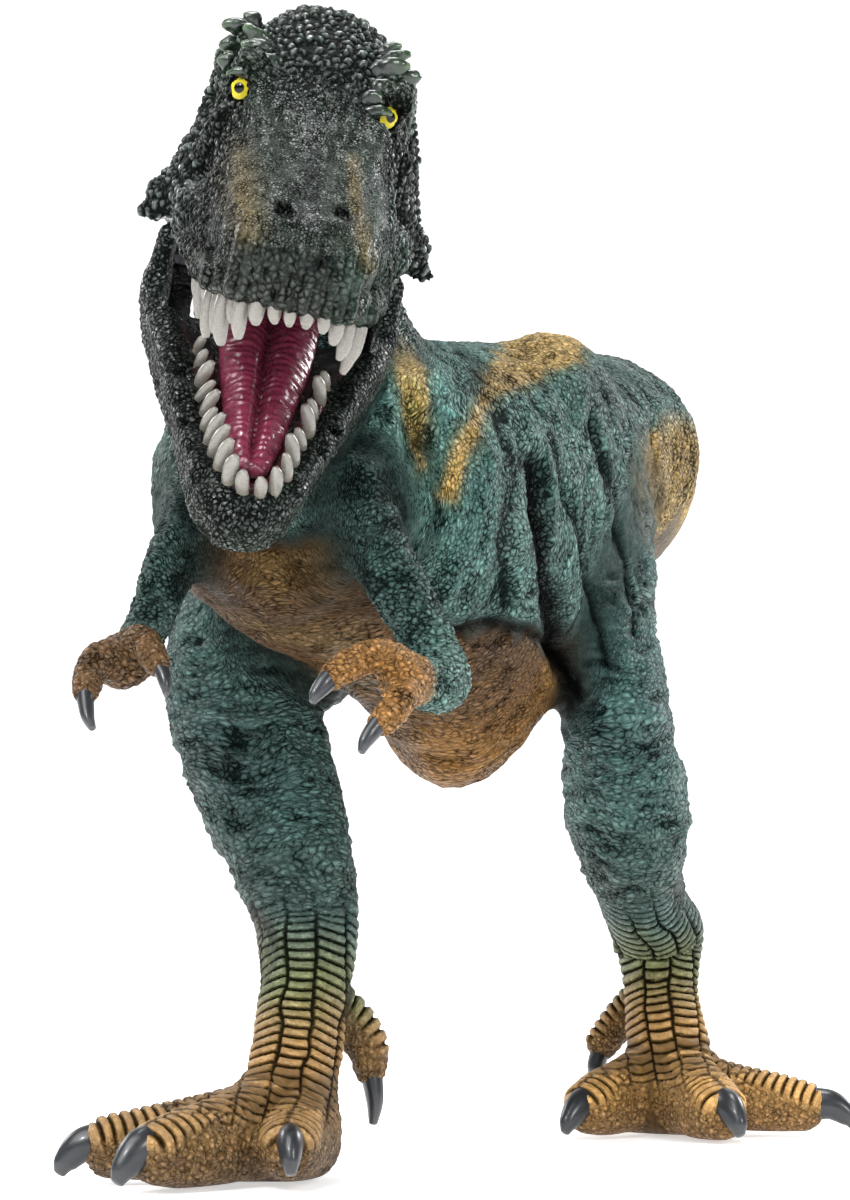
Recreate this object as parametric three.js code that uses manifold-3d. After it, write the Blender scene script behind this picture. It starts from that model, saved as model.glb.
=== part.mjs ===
// Toy dinosaur figure: a striding two-legged dinosaur with a hinged lower jaw.
// Millimetres, +Z up. The figure faces -Y; its own right side is -X.
import * as THREE from 'three';
import { mergeVertices } from 'three/addons/utils/BufferGeometryUtils.js';
import Module from 'manifold-3d';
const wasm = await Module();
wasm.setup();

// ---------- driving dimensions ----------
const SCALE = 0.95;          // drawing units to millimetres
const X0 = 10.1, Y0 = 497.3;    // drawing position of the middle of the base
const GAP = 0.3;             // play between neighbouring pieces
const JAW_OPEN = 27.4;       // degrees, resting opening of the lower jaw
const JAW_CLOSE = 20;        // degrees the jaw can close from rest
const JAW_WIDER = 2;         // degrees the jaw can open further
const PIN_R = 1.1, PIN_HALF = 14.2, EAR_IN = 10.2;
const HEAD_YAW = 4, HEAD_PITCH = 20.3, HEAD_ROLL = 12;
const HEAD_AT = [-19.6, 392, 118.6];
const TAIL_WALL = 2.4;
const TAIL_CUT = 8.5;        // station number where the tail plugs in

// stations along each limb: x, y, z, half width, height above, height below the centre line
const LIMB = {
  trunk: { up: [0, 0, 1], cap: [7, 3], st: [
    [-20, 392, 86.6, 12, 13, 14], [-18, 398, 88.9, 17, 18, 20], [-14, 406, 91.9, 19.5, 22.5, 24], [-7, 416, 93.9, 21, 24.5, 29], [1, 430, 95.7, 21, 24, 36], [8, 445, 98.6, 19.5, 23, 37], [15, 460, 102.4, 18, 21, 30], [23, 478, 107.5, 17, 19, 20], [29, 498, 110.6, 16, 17, 17], [32, 520, 107, 13.5, 14, 13.5], [31, 545, 104, 11, 11, 11], [25, 572, 101, 8.6, 8.6, 8.6], [14, 600, 99, 6.2, 6.2, 6.2], [-2, 625, 99, 4, 4, 4], [-18, 645, 101, 1.6, 1.6, 1.6]] },
  neck: { up: [0, 1, 0], cap: [6, 5], st: [
    [-13, 416, 95.9, 17.5, 16, 19], [-16, 413, 108.8, 16, 15, 17], [-18.2, 410, 121.6, 13.2, 14, 14], [-17.8, 405, 133.3, 12.4, 13, 11], [-16.5, 399, 143, 10, 10, 9]] },
  leg_r: { up: [0, -1, 0], cap: [6, 3], st: [
    [-4, 456, 94.2, 10, 13, 13], [-12, 449, 84.8, 13, 16, 17], [-23, 438, 75.2, 13.3, 14, 16], [-26, 431, 65.8, 10.8, 11, 13], [-22.3, 426, 52.5, 9.6, 10, 12], [-17.4, 421, 38.2, 7.6, 8, 9], [-16.4, 419, 31.1, 6.8, 7.5, 9], [-16.8, 414, 21.8, 5.8, 6.3, 7], [-18, 408, 12, 6.3, 6.5, 7], [-19, 405, 7, 7, 7, 7]] },
  leg_l: { up: [0, -1, 0], cap: [6, 3], st: [
    [24.9, 462, 94.4, 10, 13.9, 13.9], [22.1, 455, 83.3, 12.9, 16.1, 17.1], [25.6, 452, 69.1, 10, 12.3, 14.3], [29.6, 457, 60.1, 8.1, 9.9, 11.4], [31.5, 468, 50.2, 9.1, 10.5, 11.5], [33.9, 481, 39.2, 6.6, 8.5, 8.5], [37.7, 490, 31, 7.2, 8.5, 9.1], [38, 489, 22.2, 5.6, 6.4, 7], [38.8, 485.5, 13.2, 6.5, 6.8, 7], [39.4, 484, 7.5, 7.6, 7.6, 7.6]] },
  arm_r: { up: [0, -1, 0], cap: [4, 2], st: [
    [-25, 397, 90, 6, 7, 7], [-31, 392, 82.5, 5.2, 6, 6], [-35.2, 388, 73.3, 4.4, 4.8, 5], [-37.4, 382, 68, 3.8, 3.8, 3.8], [-38.4, 375, 66.2, 3.2, 2.8, 2.8]] },
  arm_l: { up: [0, -1, 0], cap: [4, 2], st: [
    [-10, 390, 90.5, 6, 7, 7], [-4.5, 386, 81.7, 5.2, 6, 6], [1, 385, 72.2, 4.9, 5.4, 5.4], [4, 382, 65.2, 5, 4.8, 4.6], [2, 376.5, 63.5, 4.3, 4, 4], [-2.8, 371, 64.2, 3.5, 3.2, 3.2]] },
};
// toes, fingers and claws: x, y, z, radius
const DIGIT = {
  right_leg: [
    [[-20, 409, 7, 6.2], [-29, 405, 5.6, 5.4], [-36, 402.5, 4.8, 4.8], [-41.5, 401, 4.4, 4.1]], [[-41.5, 401, 5.2, 2.6], [-45.6, 400.2, 4.6, 1.9], [-47.6, 400, 1.6, 0.4]],
    [[-20, 405, 7, 6.2], [-26, 398, 5.6, 5.6], [-31, 392.5, 4.8, 5], [-34, 389.5, 4.6, 4.2]], [[-33.6, 389.8, 5.6, 2.9], [-36.8, 387.3, 5.2, 2.1], [-38.6, 386, 1.9, 0.4]],
    [[-17.5, 408, 7, 6.2], [-17.3, 401, 5.8, 5.6], [-17.4, 395, 5, 5], [-17.6, 392, 4.8, 4.2]], [[-17.4, 391.6, 6.2, 2.9], [-17.2, 388.2, 5.6, 2.2], [-17.1, 386, 2, 0.4]],
    [[-14.5, 418, 23, 3.8], [-10.6, 418.6, 20.2, 3.3], [-8, 418.6, 16.6, 2.8]], [[-7.9, 418.4, 15, 1.9], [-7.4, 418, 10.5, 1.5], [-7.2, 417.6, 6, 0.4]]],
  left_leg: [
    [[36.7, 486, 7.2, 6.5], [31.3, 482, 5.7, 5.6], [27.6, 478, 4.8, 5], [25.7, 476, 4.4, 4.2]], [[26.4, 476.2, 5.5, 2.9], [23.6, 473, 4.4, 2.2], [21.9, 471, 1.3, 0.4]],
    [[40, 484, 7.5, 6.5], [42.5, 477, 5.6, 5.8], [44.4, 471.5, 4.3, 5.2], [45.3, 468.5, 4.1, 4.4]], [[45.1, 468.5, 5.4, 3], [46.8, 465.2, 4.7, 2.3], [47.9, 463, 1.7, 0.4]],
    [[41, 487, 7.3, 6], [48.6, 484.5, 5.6, 5.2], [55.1, 482.5, 4.8, 4.6], [59.9, 481.2, 4.2, 3.9]], [[60.3, 481, 4.7, 2.7], [64.9, 480.2, 4.3, 1.9], [67.8, 479.8, 1.4, 0.4]],
    [[35.6, 496, 20.2, 3.7], [31.9, 497.4, 16.8, 3], [28.9, 498, 13, 2.6]], [[28.4, 498, 11.6, 1.8], [28.1, 497.6, 8.6, 1.4], [29.1, 497, 5.6, 0.4]]],
  right_arm: [
    [[-38.4, 377, 66.7, 3], [-40.6, 372.6, 66.5, 2.2], [-41.5, 370.2, 64.3, 1.9]], [[-41.5, 370, 63.7, 1.5], [-41.5, 368, 60.8, 1.2], [-40.5, 366.4, 57.7, 0.3]],
    [[-37.4, 376, 67.7, 2.8], [-35.4, 372.4, 69.1, 1.9], [-33.8, 370, 67.3, 1.8]], [[-33.6, 369.8, 66.7, 1.4], [-32.2, 368.4, 64.2, 1.1], [-31.7, 367.4, 62, 0.3]]],
  left_arm: [
    [[-2, 371.8, 64.4, 3], [-5.6, 368, 66.8, 2.1], [-9.2, 365.6, 65.5, 1.9]], [[-9.6, 365.2, 65, 1.6], [-11.8, 363.4, 63.3, 1.3], [-13.5, 362.2, 60.7, 0.3]],
    [[-2.6, 371.6, 63.4, 2.8], [-2.8, 366.8, 61.7, 1.9], [-4.2, 364.2, 59.4, 1.8]], [[-4.6, 363.8, 59, 1.5], [-6.2, 362.2, 57.5, 1.2], [-7.6, 361.2, 54.6, 0.3]]],
};
// head frame stations: forward, sideways, up, half width, up, down
const SKULL = [
  [-17, 0, 21, 8, 9, 9], [-12, 0, 20.6, 12.4, 16, 13], [-6, 0, 19.4, 13.6, 17.4, 14], [0, 0, 18.2, 13.4, 15.4, 13.6], [6, 0, 16, 12.2, 12.2, 12],
  [12, 0, 14, 11.4, 10.2, 10.2], [20, 0, 12, 10.8, 8.4, 8.4], [28, 0, 10.6, 10.3, 7.2, 7], [35, 0, 9.5, 9.2, 5.6, 5.9],
  [40, 0, 8.5, 7.4, 4.6, 4.9], [43, 0, 7.6, 4.8, 2.6, 3.7]];
const CHEEK = [[[-3, 13, 12.5], [6, 4.6, 9]], [[-3, 15.4, 7.6], [4.4, 4.2, 3.6]]];
const BROW = [[2.2, 11, 29], [6, 2.8, 3.4]];
const PUBIC = [[4, 444, 67], [10, 15, 13.4]];
const JAW = [
  [-3, 0, -3.6, 15.4, 4.4, 6.6], [5, 0, -4.2, 16.8, 4.6, 7.6], [15, 0, -4.4, 14.6, 4.4, 7.4], [27, 0, -4, 10.8, 4, 7.4],
  [38, 0, -3.6, 7.8, 3.6, 6.8], [44, 0, -3.4, 5.6, 3.2, 6], [46.8, 0, -3.4, 3.2, 2.2, 4]];
const JAW_HOLLOW = [[-8, 0, 2, 10.4, 3, 6.4], [2, 0, 1.6, 9.6, 3, 6], [12, 0, 1.5, 8.2, 3, 5.6], [24, 0, 1.2, 6.2, 3, 4.8], [34, 0, 1, 4.2, 3, 3.8], [41, 0, 0.9, 2.3, 2.5, 2.8]];
const TONGUE = [[7, 0, -0.6, 6.6, 2.6, 2.8], [16, 0, -0.6, 6.1, 2.4, 2.6], [26, 0, -0.7, 4.7, 2.1, 2.2], [34, 0, -0.8, 3.1, 1.8, 1.6], [39.4, 0, -0.9, 1.5, 1.2, 0.9]];
const PALATE = [[6, 0, 8, 6.6, 3, 3], [16, 0, 7.6, 6.6, 3, 3], [27, 0, 7, 5.8, 2.2, 2.4], [35, 0, 6.6, 4, 1.4, 2]];
const PALATE_HOLLOW = [[0, 0, 3.6, 8.4, 8, 8], [14, 0, 3.6, 8.2, 8, 8], [27, 0, 3.6, 7.4, 6.4, 7], [37, 0, 3.6, 4.6, 4.8, 6]];
// tooth rows: forward, sideways, root height, length, root radius; both sides are the same
const UPPER_ROW = [[41.4, 1.5, 4.4, 3.6, 0.85], [40.6, 4.1, 4.3, 3.8, 0.95], [38.4, 6.3, 4.3, 4.8, 1.05], [35.4, 7.8, 4.3, 6.6, 1.2],
  [32, 8.6, 4.3, 7.4, 1.25], [28.6, 9, 4.3, 7.2, 1.25], [25.2, 9.2, 4.4, 6, 1.15], [22, 9.2, 4.5, 4.8, 1.05]];
const LOWER_ROW = [[44.4, 1.2, 0, 2.6, 0.85], [42.9, 3.1, 0, 3, 0.95], [40.2, 4.4, 0, 3.5, 1.05], [37.2, 5.2, 0, 3.7, 1.1],
  [34.2, 5.9, 0, 3.7, 1.1], [31.2, 6.5, 0, 3.6, 1.1], [28.2, 7.1, 0, 3.4, 1.1], [25.2, 7.6, 0.1, 3.1, 1.05], [22.2, 8.1, 0.2, 2.8, 1]];
const EYE = [7.4, 9.8, 24, 2.1];

// ---------- frames ----------
const rad = THREE.MathUtils.degToRad;
const V = (p) => new THREE.Vector3(p[0], p[1], p[2]);
const yaw = rad(HEAD_YAW), pitch = rad(HEAD_PITCH), roll = rad(HEAD_ROLL);
const fwd = new THREE.Vector3(Math.sin(yaw) * Math.cos(pitch), -Math.cos(yaw) * Math.cos(pitch), -Math.sin(pitch));
const up0 = new THREE.Vector3(Math.sin(yaw) * Math.sin(pitch), -Math.cos(yaw) * Math.sin(pitch), Math.cos(pitch));
const side0 = new THREE.Vector3(Math.cos(yaw), Math.sin(yaw), 0);
const up = up0.clone().multiplyScalar(Math.cos(roll)).addScaledVector(side0, Math.sin(roll));
const side = side0.clone().multiplyScalar(Math.cos(roll)).addScaledVector(up0, -Math.sin(roll));
const headFrame = new THREE.Matrix4().makeBasis(fwd, side, up).setPosition(V(HEAD_AT));
const jawFrame = (deg) => headFrame.clone().multiply(new THREE.Matrix4().makeRotationY(rad(deg)));
const toFigure = new THREE.Matrix4().makeScale(SCALE, SCALE, SCALE).multiply(new THREE.Matrix4().makeTranslation(-X0, -Y0, 0));

// ---------- solids ----------
function solid(geometry, matrix) {
  const g = geometry.clone();
  g.deleteAttribute('uv');
  g.deleteAttribute('normal');
  if (matrix) g.applyMatrix4(matrix);
  const m = mergeVertices(g, 1e-4);
  const pos = m.attributes.position.array, idx = Uint32Array.from(m.index.array);
  let vol = 0;
  const a = new THREE.Vector3(), b = new THREE.Vector3(), c = new THREE.Vector3();
  for (let i = 0; i < idx.length; i += 3) {
    a.fromArray(pos, 3 * idx[i]); b.fromArray(pos, 3 * idx[i + 1]); c.fromArray(pos, 3 * idx[i + 2]);
    vol += a.dot(b.cross(c));
  }
  if (vol < 0) for (let i = 0; i < idx.length; i += 3) { const t = idx[i]; idx[i] = idx[i + 1]; idx[i + 1] = t; }
  return new wasm.Manifold(new wasm.Mesh({ numProp: 3, vertProperties: Float32Array.from(pos), triVerts: idx }));
}
function geometryOf(manifold) {
  const mesh = manifold.getMesh();
  const g = new THREE.BufferGeometry();
  g.setAttribute('position', new THREE.BufferAttribute(Float32Array.from(mesh.vertProperties), 3));
  g.setIndex(new THREE.BufferAttribute(Uint32Array.from(mesh.triVerts), 1));
  g.computeVertexNormals();
  return g;
}
// a body of changing oval section along a curve, from a sphere whose rows become the sections
function loft(stations, { ref = [0, 0, 1], cap = [2, 2], seg = 14, per = 1.5, power = 2, grow = 0, from = 0, to = null } = {}) {
  const n = stations.length, last = to === null ? n - 1 : to;
  const centre = new THREE.CatmullRomCurve3(stations.map(V), false, 'catmullrom', 0.5);
  const size = new THREE.CatmullRomCurve3(stations.map((s) => new THREE.Vector3(s[3], s[4], s[5])), false, 'catmullrom', 0.5);
  const rows = Math.max(2, Math.round((last - from) * per));
  const rings = [], R = V(ref);
  for (let i = 0; i <= rows; i++) {
    const t = (from + (last - from) * i / rows) / (n - 1);
    const T = centre.getTangent(t), N = R.clone().addScaledVector(T, -R.dot(T)).normalize();
    rings.push({ c: centre.getPoint(t), T, N, S: T.clone().cross(N), r: size.getPoint(t).addScalar(grow) });
  }
  const capped = [], end = [];
  for (let k = 0; k < 2; k++) {
    const a = (k / 2) * Math.PI / 2, s = Math.sin(a), w = Math.cos(a);
    const f = rings[0], l = rings[rings.length - 1];
    capped.push({ ...f, c: f.c.clone().addScaledVector(f.T, -(cap[0] + grow) * w), r: f.r.clone().multiplyScalar(s) });
    end.unshift({ ...l, c: l.c.clone().addScaledVector(l.T, (cap[1] + grow) * w), r: l.r.clone().multiplyScalar(s) });
  }
  const all = [...capped, ...rings, ...end];
  const g = new THREE.SphereGeometry(1, seg, all.length - 1);
  const pos = g.attributes.position, e = 2 / power;
  for (let j = 0; j < all.length; j++) {
    const q = all[j];
    for (let i = 0; i <= seg; i++) {
      const ang = 2 * Math.PI * (i % seg) / seg, co = Math.cos(ang), si = Math.sin(ang);
      const x = Math.sign(co) * Math.pow(Math.abs(co), e) * q.r.x;
      const y = Math.sign(si) * Math.pow(Math.abs(si), e) * (si > 0 ? q.r.y : q.r.z);
      const p = q.c.clone().addScaledVector(q.S, x).addScaledVector(q.N, y);
      pos.setXYZ(j * (seg + 1) + i, p.x, p.y, p.z);
    }
  }
  return g;
}
const limb = (name, o = {}) => solid(loft(LIMB[name].st, { ref: LIMB[name].up, cap: LIMB[name].cap, ...o }));
const rod = (pts, grow, seg = 7) => {
  const st = pts.map((p) => [p[0], p[1], p[2], p[3], p[3], p[3]]);
  const d = V(pts[pts.length - 1]).sub(V(pts[0])).normalize();
  return solid(loft(st, { ref: Math.abs(d.z) > 0.8 ? [0, -1, 0] : [0, 0, 1], cap: [pts[0][3] * 0.8, pts[pts.length - 1][3] * 0.8], seg, per: 1, grow }));
};
const egg = (at, r, seg, matrix) => {
  const g = new THREE.SphereGeometry(1, seg, Math.max(5, Math.round(seg / 2)));
  g.scale(r[0], r[1], r[2]);
  g.translate(at[0], at[1], at[2]);
  return solid(g, matrix);
};
const block = (lo, hi, matrix) => {
  const g = new THREE.BoxGeometry(hi[0] - lo[0], hi[1] - lo[1], hi[2] - lo[2]);
  g.translate((lo[0] + hi[0]) / 2, (lo[1] + hi[1]) / 2, (lo[2] + hi[2]) / 2);
  return solid(g, matrix);
};
const joined = (list) => list.slice(1).reduce((a, b) => a.add(b), list[0]);
const aboveFloor = block([-400, 0, 0], [400, 900, 400]);

// legs: limb, toes, claws and a flat sole
function leg(name, limbName, pads, grow = 0) {
  const list = [limb(limbName, { grow }), ...DIGIT[name].map((d) => rod(d, grow)), ...pads.map((p) => egg(p[0], p[1].map((v) => v + grow), 12))];
  return joined(list).intersect(aboveFloor);
}
const PAD_R = [[[-20.5, 404, 4], [9.5, 8.5, 5.6]], [[-21.5, 411, 4], [8.6, 8.4, 5.4]]], PAD_L = [[[39.5, 484, 4], [9.2, 8.8, 5.6]]];
const legR = leg('right_leg', 'leg_r', PAD_R), legL = leg('left_leg', 'leg_l', PAD_L);
const armR = joined([limb('arm_r', { seg: 10 }), ...DIGIT.right_arm.map((d) => rod(d, 0, 6))]);
const armL = joined([limb('arm_l', { seg: 10 }), ...DIGIT.left_arm.map((d) => rod(d, 0, 6))]);

// head and neck
const skull = solid(loft(SKULL, { seg: 18, power: 2.5, cap: [3, 1.4] }), headFrame);
const both = (fn) => [1, -1].map(fn);
let head = joined([skull, limb('neck', { seg: 14 }),
  ...both((s) => egg([CHEEK[0][0][0], s * CHEEK[0][0][1], CHEEK[0][0][2]], CHEEK[0][1], 10, headFrame)),
  ...both((s) => egg([CHEEK[1][0][0], s * CHEEK[1][0][1], CHEEK[1][0][2]], CHEEK[1][1], 8, headFrame)),
  ...both((s) => egg([BROW[0][0], s * BROW[0][1], BROW[0][2]], BROW[1], 10, headFrame))]);

// lower jaw, at rest and through its whole swing
const jawRaw = (grow, deg) => solid(loft(JAW, { seg: 14, per: 1, power: 2.4, cap: [4, 1.4], grow }), jawFrame(deg));
const slot = (deg, half) => block([-12, -half, -20], [4.5, half, 20], jawFrame(deg));
const toothRail = (row, dz, r, matrix, grow = 0) => {
  const pts = [...row].reverse().map((t) => [t[0], -t[1], t[2] + dz, r, r, r]).concat(row.map((t) => [t[0], t[1], t[2] + dz, r, r, r]));
  return solid(loft(pts, { seg: 6, per: 1, cap: [r, r], grow }), matrix);
};
const tooth = (t, s, dir, matrix) => {
  const g = new THREE.CylinderGeometry(t[4], t[4] * 0.35, t[3] + 1, 5);
  g.rotateX(Math.PI / 2);
  if (dir > 0) g.rotateX(Math.PI);
  g.translate(t[0], s * t[1], t[2] + dir * (t[3] - 1) / 2);
  return solid(g, matrix);
};
const teeth = (row, dir, matrix, dz, r) => joined([toothRail(row, dz, r, matrix), ...row.flatMap((t) => both((s) => tooth(t, s, dir, matrix)))]);
const UP_RAIL = 0.5, LOW_RAIL = -0.9;
const upperTeeth = teeth(UPPER_ROW, -1, headFrame, UP_RAIL, 1.25);
const lowerTeeth = teeth(LOWER_ROW, 1, jawFrame(JAW_OPEN), LOW_RAIL, 1.15);
let jaw = jawRaw(0, JAW_OPEN).subtract(solid(loft(JAW_HOLLOW, { seg: 16, cap: [3, 1] }), jawFrame(JAW_OPEN))).subtract(slot(JAW_OPEN, EAR_IN));
jaw = jaw.subtract(toothRail(LOWER_ROW, LOW_RAIL, 1.15, jawFrame(JAW_OPEN), GAP));

const pinAxis = (r, half, matrix) => solid(new THREE.CylinderGeometry(r, r, 2 * half, 12), matrix);
const pin = pinAxis(PIN_R, PIN_HALF, headFrame);
const pinHole = pinAxis(PIN_R + GAP, 24, headFrame);
jaw = jaw.subtract(pinAxis(PIN_R + GAP, PIN_HALF + GAP, headFrame));

head = head.subtract(solid(loft(PALATE_HOLLOW, { seg: 16, cap: [6, 2] }), headFrame));
const swing = [];
for (let k = 0; k <= 5; k++) {
  const d = JAW_OPEN - JAW_CLOSE + (JAW_CLOSE + JAW_WIDER) * k / 5;
  swing.push(jawRaw(GAP + 0.15, d).subtract(slot(d, EAR_IN - 0.4)));
}
const sweep = joined(swing);
head = head.subtract(sweep);
head = head.subtract(pinHole.intersect(block([-4, -PIN_HALF - GAP, -4], [4, PIN_HALF + GAP, 4], headFrame)));
head = head.subtract(toothRail(UPPER_ROW, UP_RAIL, 1.25, headFrame, GAP));
const palate = solid(loft(PALATE, { seg: 12, cap: [1, 1] }), headFrame);
head = head.subtract(solid(loft(PALATE, { seg: 12, cap: [1, 1], grow: GAP }), headFrame));
const eyes = both((s) => egg([EYE[0], s * EYE[1], EYE[2]], [EYE[3], EYE[3], EYE[3]], 10, headFrame));
for (const s of [1, -1]) {
  head = head.subtract(egg([EYE[0], s * EYE[1], EYE[2]], [EYE[3] + GAP, EYE[3] + GAP, EYE[3] + GAP], 10, headFrame));
  head = head.subtract(egg([EYE[0] + 2.4, s * (EYE[1] + 1.4), EYE[2] - 0.2], [3, 2.2, 2], 10, headFrame));
}

// torso and tail from one trunk
const T = LIMB.trunk;
const torsoRaw = solid(loft(T.st, { ref: T.up, cap: [5, 0.01], seg: 20, per: 1.6, to: TAIL_CUT })).add(egg(PUBIC[0], PUBIC[1], 16));
let tail = solid(loft(T.st, { ref: T.up, cap: [0.01, 3], seg: 12, per: 1.5, from: TAIL_CUT + 0.02 }));
const trunkCurve = new THREE.CatmullRomCurve3(T.st.map(V), false, 'catmullrom', 0.5);
const cutAt = trunkCurve.getPoint(TAIL_CUT / (T.st.length - 1)), cutDir = trunkCurve.getTangent(TAIL_CUT / (T.st.length - 1));
const plugFrame = new THREE.Matrix4().makeRotationFromQuaternion(new THREE.Quaternion().setFromUnitVectors(new THREE.Vector3(0, 1, 0), cutDir)).setPosition(cutAt);
tail = tail.add(solid(new THREE.CylinderGeometry(6, 6, 22, 16), plugFrame));
// the tail is hollow and open through its plug
tail = tail.subtract(solid(loft(T.st, { ref: T.up, cap: [1, 2], seg: 10, per: 1, grow: -TAIL_WALL, from: TAIL_CUT + 0.25, to: 12 })))
  .subtract(solid(new THREE.CylinderGeometry(3.6, 3.6, 40, 12), plugFrame));
const tailSocket = solid(new THREE.CylinderGeometry(6 + GAP, 6 + GAP, 22 + 2 * GAP, 16), plugFrame);

let torso = torsoRaw;
for (const cut of [sweep, leg('right_leg', 'leg_r', [], GAP), leg('left_leg', 'leg_l', [], GAP), limb('arm_r', { seg: 10, grow: GAP }), limb('arm_l', { seg: 10, grow: GAP }),
  limb('neck', { seg: 14, grow: GAP }), tailSocket]) torso = torso.subtract(cut);

// ---------- the figure ----------
const group = new THREE.Group();
function part(name, manifold, color, roughness, metalness = 0) {
  const pieces = manifold.decompose().sort((a, b) => b.volume() - a.volume());
  const g = geometryOf(pieces[0]);
  g.applyMatrix4(toFigure);
  const mesh = new THREE.Mesh(g, new THREE.MeshStandardMaterial({ color, roughness, metalness }));
  mesh.name = name;
  group.add(mesh);
}
part('torso', torso, 0x2f5a52, 0.5);
part('tail', tail, 0x2f5a52, 0.5);
part('head_and_neck', head.subtract(armR).subtract(armL), 0x26352e, 0.45);
part('lower_jaw', jaw, 0x26352e, 0.45);
part('jaw_hinge_pin', pin, 0x8a8d90, 0.35, 0.9);
part('palate', palate, 0x3a1418, 0.4);
part('tongue', solid(loft(TONGUE, { seg: 12, cap: [1.2, 0.8] }), jawFrame(JAW_OPEN)), 0x6d1a2c, 0.3);
part('upper_teeth', upperTeeth, 0xe6e2d6, 0.3);
part('lower_teeth', lowerTeeth, 0xe6e2d6, 0.3);
part('left_eye', eyes[0], 0xd8c01e, 0.15);
part('right_eye', eyes[1], 0xd8c01e, 0.15);
part('right_arm', armR, 0x2f5a52, 0.5);
part('left_arm', armL, 0x2f5a52, 0.5);
part('right_leg', legR, 0x2f5a52, 0.5);
part('left_leg', legL, 0x2f5a52, 0.5);

export default group;
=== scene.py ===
import bpy, bmesh, math, time
import numpy as np
from mathutils import Vector, Matrix


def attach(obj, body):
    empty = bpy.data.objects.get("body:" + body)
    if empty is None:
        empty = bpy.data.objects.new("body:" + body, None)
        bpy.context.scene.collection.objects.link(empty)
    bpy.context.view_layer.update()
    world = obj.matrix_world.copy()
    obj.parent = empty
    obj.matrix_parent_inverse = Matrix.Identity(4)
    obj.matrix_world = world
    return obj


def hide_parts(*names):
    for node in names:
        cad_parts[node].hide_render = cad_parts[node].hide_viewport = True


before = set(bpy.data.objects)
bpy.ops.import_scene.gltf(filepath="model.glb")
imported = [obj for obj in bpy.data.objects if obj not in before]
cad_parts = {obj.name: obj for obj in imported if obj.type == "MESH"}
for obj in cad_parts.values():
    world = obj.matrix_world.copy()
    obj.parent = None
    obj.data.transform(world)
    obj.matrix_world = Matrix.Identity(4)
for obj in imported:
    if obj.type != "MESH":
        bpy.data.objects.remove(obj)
import openvdb as vdb

T_START = time.time()
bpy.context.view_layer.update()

# ------------------------------------------------------------------ drawing frame
# drawing units: x to the figure's left, y away from the viewer, z up; metres = (drawing - origin) * SCALE / 1000
SCALE = 0.95
ORG = np.array([10.1, 497.3, 0.0])
def to_m(p):
    return (np.asarray(p, float) - ORG) * (SCALE / 1000.0)
def to_d(p):
    return np.asarray(p, float) * (1000.0 / SCALE) + ORG

JAW_OPEN = math.radians(27.4)
HY, HP, HR = map(math.radians, (4, 20.3, 12))
H0 = np.array([-19.6, 392, 118.6])
HF = np.array([math.sin(HY) * math.cos(HP), -math.cos(HY) * math.cos(HP), -math.sin(HP)])
_u0 = np.array([math.sin(HY) * math.sin(HP), -math.cos(HY) * math.sin(HP), math.cos(HP)])
_l0 = np.array([math.cos(HY), math.sin(HY), 0.0])
HU = math.cos(HR) * _u0 + math.sin(HR) * _l0
HL = math.cos(HR) * _l0 - math.sin(HR) * _u0
HM = np.stack([HF, HL, HU])            # rows: forward, left, up
def head(p):                            # head frame -> drawing
    return H0 + np.asarray(p, float) @ HM
def head_inv(p):
    return (np.asarray(p, float) - H0) @ HM.T
CJ, SJ = math.cos(JAW_OPEN), math.sin(JAW_OPEN)
def jaw_to_head(p, ang=JAW_OPEN):
    p = np.asarray(p, float); c, s = math.cos(ang), math.sin(ang)
    return np.stack([p[..., 0] * c + p[..., 2] * s, p[..., 1], -p[..., 0] * s + p[..., 2] * c], -1)
def head_to_jaw(p, ang=JAW_OPEN):
    p = np.asarray(p, float); c, s = math.cos(ang), math.sin(ang)
    return np.stack([p[..., 0] * c - p[..., 2] * s, p[..., 1], p[..., 0] * s + p[..., 2] * c], -1)
def jaw(p):
    return head(jaw_to_head(p))

# ------------------------------------------------------------------ stations
TRUNK = [[-20, 392, 86.6, 12, 13, 14], [-18, 398, 88.9, 17, 18, 20], [-14, 406, 91.9, 19.5, 22.5, 24], [-7, 416, 93.9, 21, 24.5, 29],
         [1, 430, 95.7, 21, 24, 36], [8, 445, 98.6, 19.5, 23, 37], [15, 460, 102.4, 18, 21, 30], [23, 478, 107.5, 17, 19, 20],
         [29, 498, 110.6, 16, 17, 17], [32, 520, 107, 13.5, 14, 13.5], [31, 545, 104, 11, 11, 11], [25, 572, 101, 8.6, 8.6, 8.6],
         [14, 600, 99, 6.2, 6.2, 6.2], [-2, 625, 99, 4, 4, 4], [-18, 645, 101, 1.6, 1.6, 1.6]]
NECK = [[-13, 416, 95.9, 17.5, 16, 19], [-16, 413, 108.8, 16, 15, 17], [-18.2, 410, 121.6, 13.2, 14, 14], [-17.8, 405, 133.3, 12.4, 13, 11], [-16.5, 399, 143, 10, 10, 9]]
LEG_R = [[-4, 456, 94.2, 10, 13, 13], [-12, 449, 84.8, 13, 16, 17], [-23, 438, 75.2, 13.3, 14, 16], [-26, 431, 65.8, 10.8, 11, 13],
         [-22.3, 426, 52.5, 9.6, 10, 12], [-17.4, 421, 38.2, 7.6, 8, 9], [-16.4, 419, 31.1, 6.8, 7.5, 9], [-16.8, 414, 21.8, 5.8, 6.3, 7],
         [-18, 408, 12, 6.3, 6.5, 7], [-19, 405, 7, 7, 7, 7]]
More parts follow.
